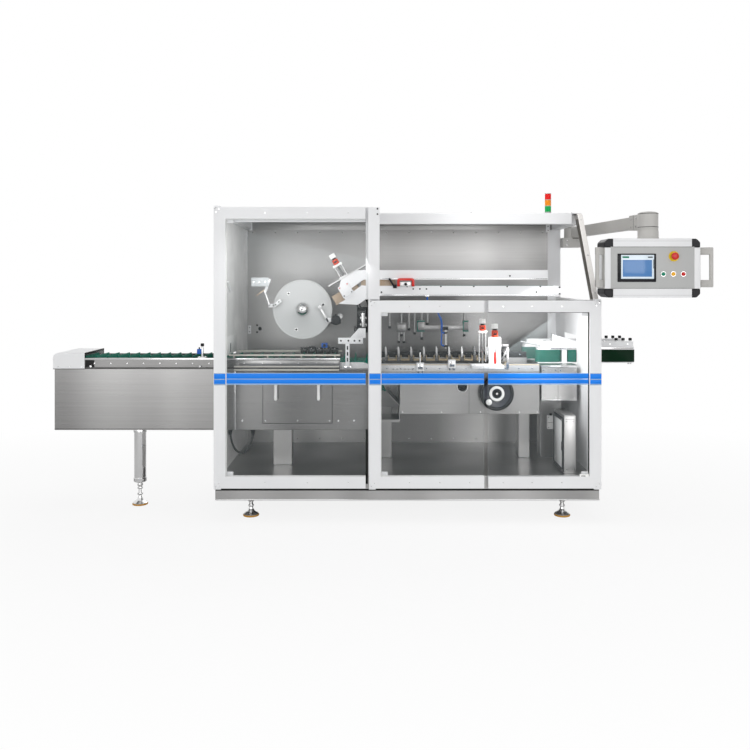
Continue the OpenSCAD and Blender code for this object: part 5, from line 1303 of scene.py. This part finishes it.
def lower_right():
    (x0, x1), (face, _), (z0, z1) = drawn("electrical_box")
    trim = Piece("electrical_box_trim", "stainless", pale_steel, chrome, seal, window_grey, black)
    trim.add(block((x0 + 4, x1 - 4), (face - 1.2, face), (z0 + 6, z1 - 8), 0.6))
    trim.add(block((x0 + 8, x1 - 8), (face - 1.8, face - 1), (z1 - 22, z1 - 20), 0.2), 2)
    trim.screws(1, spots((x0 + 14, x1 - 14), face - 1.2, (z0 + 24, z1 - 34)))
    (x0, x1), (y0, y1), (z0, z1) = drawn("window_frame")
    trim.add(block((x0 + 3, x1), (y0 + 20, y1 - 20), (z0 + 20, z1 - 20), 0.6), 3)
    trim.add(block((x0 + 1, x0 + 3), (y0 + 30, y0 + 40), (z0 + 120, z0 + 170), 0.8), 4)
    trim.screws(1, spots(x0, (y0 + 10, y1 - 10), (z0 + 10, (z0 + z1) / 2, z1 - 10)), LEFT, 3.6)
    trim.done()
    switch = Piece("column_switch_box", "white_paint", white_plastic, seal, chrome)
    switch.add(block((1986, 2030), (496, 520), (430, 514), 2))
    switch.add(block((1986, 2030), (495.5, 496), (470, 471.5), 0.1), 1)
    switch.screws(2, spots((1993, 2023), 496, (440, 504)), radius=3)
    switch.add(rod((2008, 508, 514), (2008, 508, 526), 8), 1)
    switch.done()
    clamp = Piece("right_pane_clamp", "white_paint", white_plastic, seal, body="right_door")
    clamp.add(block((2060, 2112), (9, 13.5), (247, 269), 1))
    clamp.add(block((2068, 2092), (8.6, 9.2), (255, 260), 0.2), 1)
    clamp.done()


def sloped_trim():
    trim = Piece("sloped_bar_side_shade", "black_plastic", bar_shadow, chrome)
    # A dark plate on the sloped bar's side face: painted shade of that side.
    trim.add(plate([(58, 1252), (112, 1252), (440, 1735), (386, 1735)], (2146.8, 2148), "x", 0.3))
    along = [(2163, 43 + 357 * part, 1246 + 526 * part) for part in (0.08, 0.5, 0.92)]
    trim.screws(1, along, (0, -0.827, 0.562), 5)
    trim.done()


grip_belts()
grip_rails()
outfeed_box()
lower_right()
sloped_trim()

# Signal tower
LENS_H, LENS_GAP, LENS_BORE = 36.0, 3, 8.2
RIBS, RIB_PITCH = 9, 3.8


def tower():
    (x0, x1), (y0, y1), (z0, _) = drawn("signal_lenses")
    x, y, radius = (x0 + x1) / 2, (y0 + y1) / 2, (x1 - x0) / 2
    profile = [(LENS_BORE, 0), (radius - 1, 0)]
    for low in (k * RIB_PITCH for k in range(RIBS)):
        profile += [(radius, low + 1), (radius, low + 2.6), (radius - 0.8, low + 3.6)]
    profile += [(radius - 1, LENS_H), (LENS_BORE, LENS_H), (LENS_BORE, 0)]
    lamp = Piece("signal_lens_stack", "signal_red", lens_green, lens_amber, lens_red)
    for i in range(3):
        lamp.add(turned(profile, (x, y, z0 + i * (LENS_H + LENS_GAP)), steps=36), i)
    lamp.done("signal_lenses")
    foot = Piece("signal_tower_screws", "bright_steel", chrome)
    turns = [Matrix.Rotation(i * math.tau / 3, 3, "Z") for i in range(3)]
    foot.screws(0, [Vector((x, y, z0 - 8)) + turn @ Vector((23, 0, 0)) for turn in turns], UP, 2.2)
    foot.done()


tower()

# Control panel and its arm
HUB, ROOT, POST_R = (2410.94, -86.41), (2255.0, 957.0), 54
ARM_TURN, ARM_HALF = math.radians(8.5), 31
PANEL_X, PANEL_Y, PANEL_Z = (2149.94, 2671.94), (-156.41, -16.41), (1266, 1586)
POST_CAP = [(0, 9), (20, 8.6), (38, 6.6), (47, 3.6), (51, 0), (0, 0)]


def post_seam(post, height, low, high, out=0.6):
    """A thin band round one of the arm's posts."""
    outer = POST_R + out
    return turned([(POST_R, low), (outer, low), (outer, high), (POST_R, high)], (*post, height), steps=48)


def arm_trim():
    trim = Piece("arm_caps", "bare_aluminium", arm_grey, seal, chrome, body="arm")
    for post, top in ((HUB, 1729), (ROOT, 1721)):
        trim.add(turned(POST_CAP, (*post, top), steps=48))
        trim.add(post_seam(post, top, -5, -2.5), 1)
    trim.add(post_seam(HUB, 1650, 0, 3), 1)
    along = Matrix.Translation((*HUB, 0)) @ Matrix.Rotation(ARM_TURN, 4, "Z")
    for side, way in ((-1, LEFT), (1, RIGHT)):
        trim.screws(2, spots(side * ARM_HALF, (78, 138), (1662, 1708)), way, 6, place=along)
        trim.add(block(layer(side * ARM_HALF, side * 0.6), (107, 109), (1646, 1724), 0.1), 1, along)
    trim.screws(2, spots(0, (70, 150), 1727), UP, 7, place=along)
    trim.add(block((-26, 26), (166, 168), (1648.4, 1649), 0.1), 1, along)
    trim.done()
    root = Piece("arm_bracket_fixings", "bright_steel", chrome, seal)
    for away, way in ((-POST_R, FRONT), (POST_R, BACK)):
        root.screws(0, spots(2205, ROOT[1] + away, (1600, 1632)), way, 7, 1.8)
    root.add(post_seam(ROOT, 1649, -6, -2, 1), 1)
    root.done()


CORNER_W = 48
GRAB_OUT, GRAB_FRONT, GRAB_W, GRAB_H = 56, 36, 20, 40
NECK = [(0, -2), (54, -2), (54, 53.2), (52.5, 54.7), (24.6, 54.7), (24.6, 124), (23.6, 125), (0, 125)]
COLLAR = [(54.1, 4), (57, 4), (57, 10), (55.4, 12), (55.4, 46), (54.1, 46), (54.1, 4)]


def panel_case():
    """The panel's box with its neck, a pivot pin with room to turn, and rounded grab handles."""
    (x0, x1), y, (z0, z1) = PANEL_X, PANEL_Y, PANEL_Z
    low, high = z0 + CORNER_W, z1 - CORNER_W
    case = Piece("panel_case", "bare_aluminium", arm_grey, body="panel")
    case.blocks(0, 2, ((x0 + CORNER_W, x1 - CORNER_W), y, (z0, z1)), ((x0, x1), y, (low, high)))
    case.add(turned(NECK, (*HUB, z1), steps=48))
    arms = (low + 8, high - GRAB_H)
    front = y[0] - GRAB_FRONT
    for edge, side in ((x0, -1), (x1, 1)):
        root, out = edge - side, edge + side * GRAB_OUT
        grip = out - side * GRAB_W
        outline = [(root, front + 44), (root, front + 80), (out, front + GRAB_W), (out, front + 8), (grip, front)]
        for z in arms:
            case.add(plate(outline, (z, z + GRAB_H), "z", 3))
        case.add(block(sorted((grip, out)), (front, front + GRAB_W), (arms[0], arms[1] + GRAB_H), 6))
    case.done("panel_box")


def panel_frame():
    (x0, x1), (front, back), (z0, z1) = PANEL_X, PANEL_Y, PANEL_Z
    inner = left, right = x0 + CORNER_W, x1 - CORNER_W
    box = Piece("panel_extrusions", "bare_aluminium", white, bezel_grey, seal, chrome, arm_grey, body="panel")
    box.blocks(0, 1, *((inner, (front - 2.6, front), z) for z in ((z1 - 44, z1), (z0, z0 + 49))),
               *(((a, a + 32), (front - 2.2, front), (z0 + CORNER_W + 1, z1 - CORNER_W - 1))
                 for a in (x0 + 2, x1 - 34)))
    box.add(block((x0 + 34, x1 - 34), (front - 1.2, front), (z0 + 49, z1 - 44), 0.5), 1)
    box.blocks(2, 0.2, *((inner, (front - 1.6, front - 1), (z, z + 2)) for z in (z0 + 49, z1 - 46)))
    box.blocks(1, 0.1, *((inner, (front - 2.9, front - 2.4), (z, z + 1.6)) for z in (z1 - 14, z0 + 12)))
    box.add(block(inner, (front + 6, back - 6), (z1, z1 + 1.2), 0.4))
    box.blocks(0, 0.3, *(((a, a + 0.8), (front + 48, back - 8), (z0 + 60, z1 - 60)) for a in (x0 - 0.8, x1)))
    box.add(turned(COLLAR, (*HUB, z1), steps=48), 4)
    box.add(block((left + 4, right - 4), (back, back + 2), (z0 + 8, z1 - 8), 0.8), 1)
    box.screws(3, spots((left + 18, sum(inner) / 2, right - 18), back + 2, (z0 + 22, z1 - 22)), BACK, 4.5)
    box.done()


STOP_RING = [(0, 6), (27, 6), (28, 4.5), (28, 0), (0, 0)]
STOP_NECK = [(0, 18), (14, 18), (14, 6), (0, 6)]
STOP_HEAD = [(0, 31.5), (8, 31), (15, 28.8), (19, 25), (20, 21), (19, 18), (14, 17), (0, 17)]
BUTTON_RING = [(11.5, 0), (15, 0), (15, 4), (13.6, 6), (11.5, 6), (11.5, 0)]
BUTTON = [(0, 12.5), (8, 12.2), (10.6, 10.5), (11.4, 8), (11.4, 0), (0, 0)]


def panel_controls():
    front, low = PANEL_Y[0], PANEL_Z[0]
    wide = PANEL_X[1] - PANEL_X[0]
    controls = Piece("panel_screen_and_buttons", "black_plastic", gloss_black, screen_pale, screen_blue, yellow, red,
                     chrome, button_green, button_amber, button_red, seal, body="panel")
    controls.add(block((2220.4, 2429.4), (front - 6, front), (1350.5, 1504.5), 2.5))
    controls.add(block((2236, 2420), (front - 6.3, front - 5.5), (1365, 1500), 0.3), 9)
    controls.add(block((2239, 2417), (front - 6.6, front - 6), (1368, 1497), 0.2), 1)
    for finish, x, z in ((2, (2248, 2406), (1379, 1470)), (6, (2246, 2282), (1480, 1490)),
                         (9, (2384, 2410), (1482, 1488)), (9, (2413, 2416), (1424, 1472))):
        controls.add(block(x, (front - 6.9, front - 6.4), z, 0.2), finish)
    stop = (HUB[0] + wide * 0.22, front, low + 224)
    for profile, steps, finish in ((STOP_RING, 48, 3), (STOP_NECK, 32, 9), (STOP_HEAD, 40, 4)):
        controls.add(turned(profile, stop, FRONT, steps), finish)
    for share, finish in ((0.109, 6), (0.213, 7), (0.317, 8)):
        at = (HUB[0] + wide * share, front, low + 128)
        controls.add(turned(BUTTON_RING, at, FRONT, 36), 5)
        controls.add(turned(BUTTON, at, FRONT, 36), finish)
    controls.done("panel_controls")


arm_trim()
panel_case()
panel_frame()
panel_controls()

# Seams and latches of the back wall
LATCH = [(0, 5), (12, 5), (14, 3.5), (14, 0), (0, 0)]


def back_trim():
    (x0, x1), (_, face), (z0, z1) = drawn("back_wall")
    trim = Piece("back_panel_seams", "black_plastic", seal, chrome, black)
    inset = 0.14 * (z1 - z0)
    for part in (1, 2):
        seam = x0 + part * (x1 - x0) / 3
        trim.add(block((seam - 1, seam + 1), (face, face + 0.8), (z0 + 6, z1 - 6), 0.2))
        for x, y, z in spots((seam - 26, seam + 26), face, (z0 + inset, (z0 + z1) / 2, z1 - inset)):
            trim.add(turned(LATCH, (x, y, z), BACK, 28), 1)
            trim.add(block((x - 9, x + 9), (y + 4, y + 7), (z - 2.4, z + 2.4), 0.8), 2)
    trim.done()


back_trim()
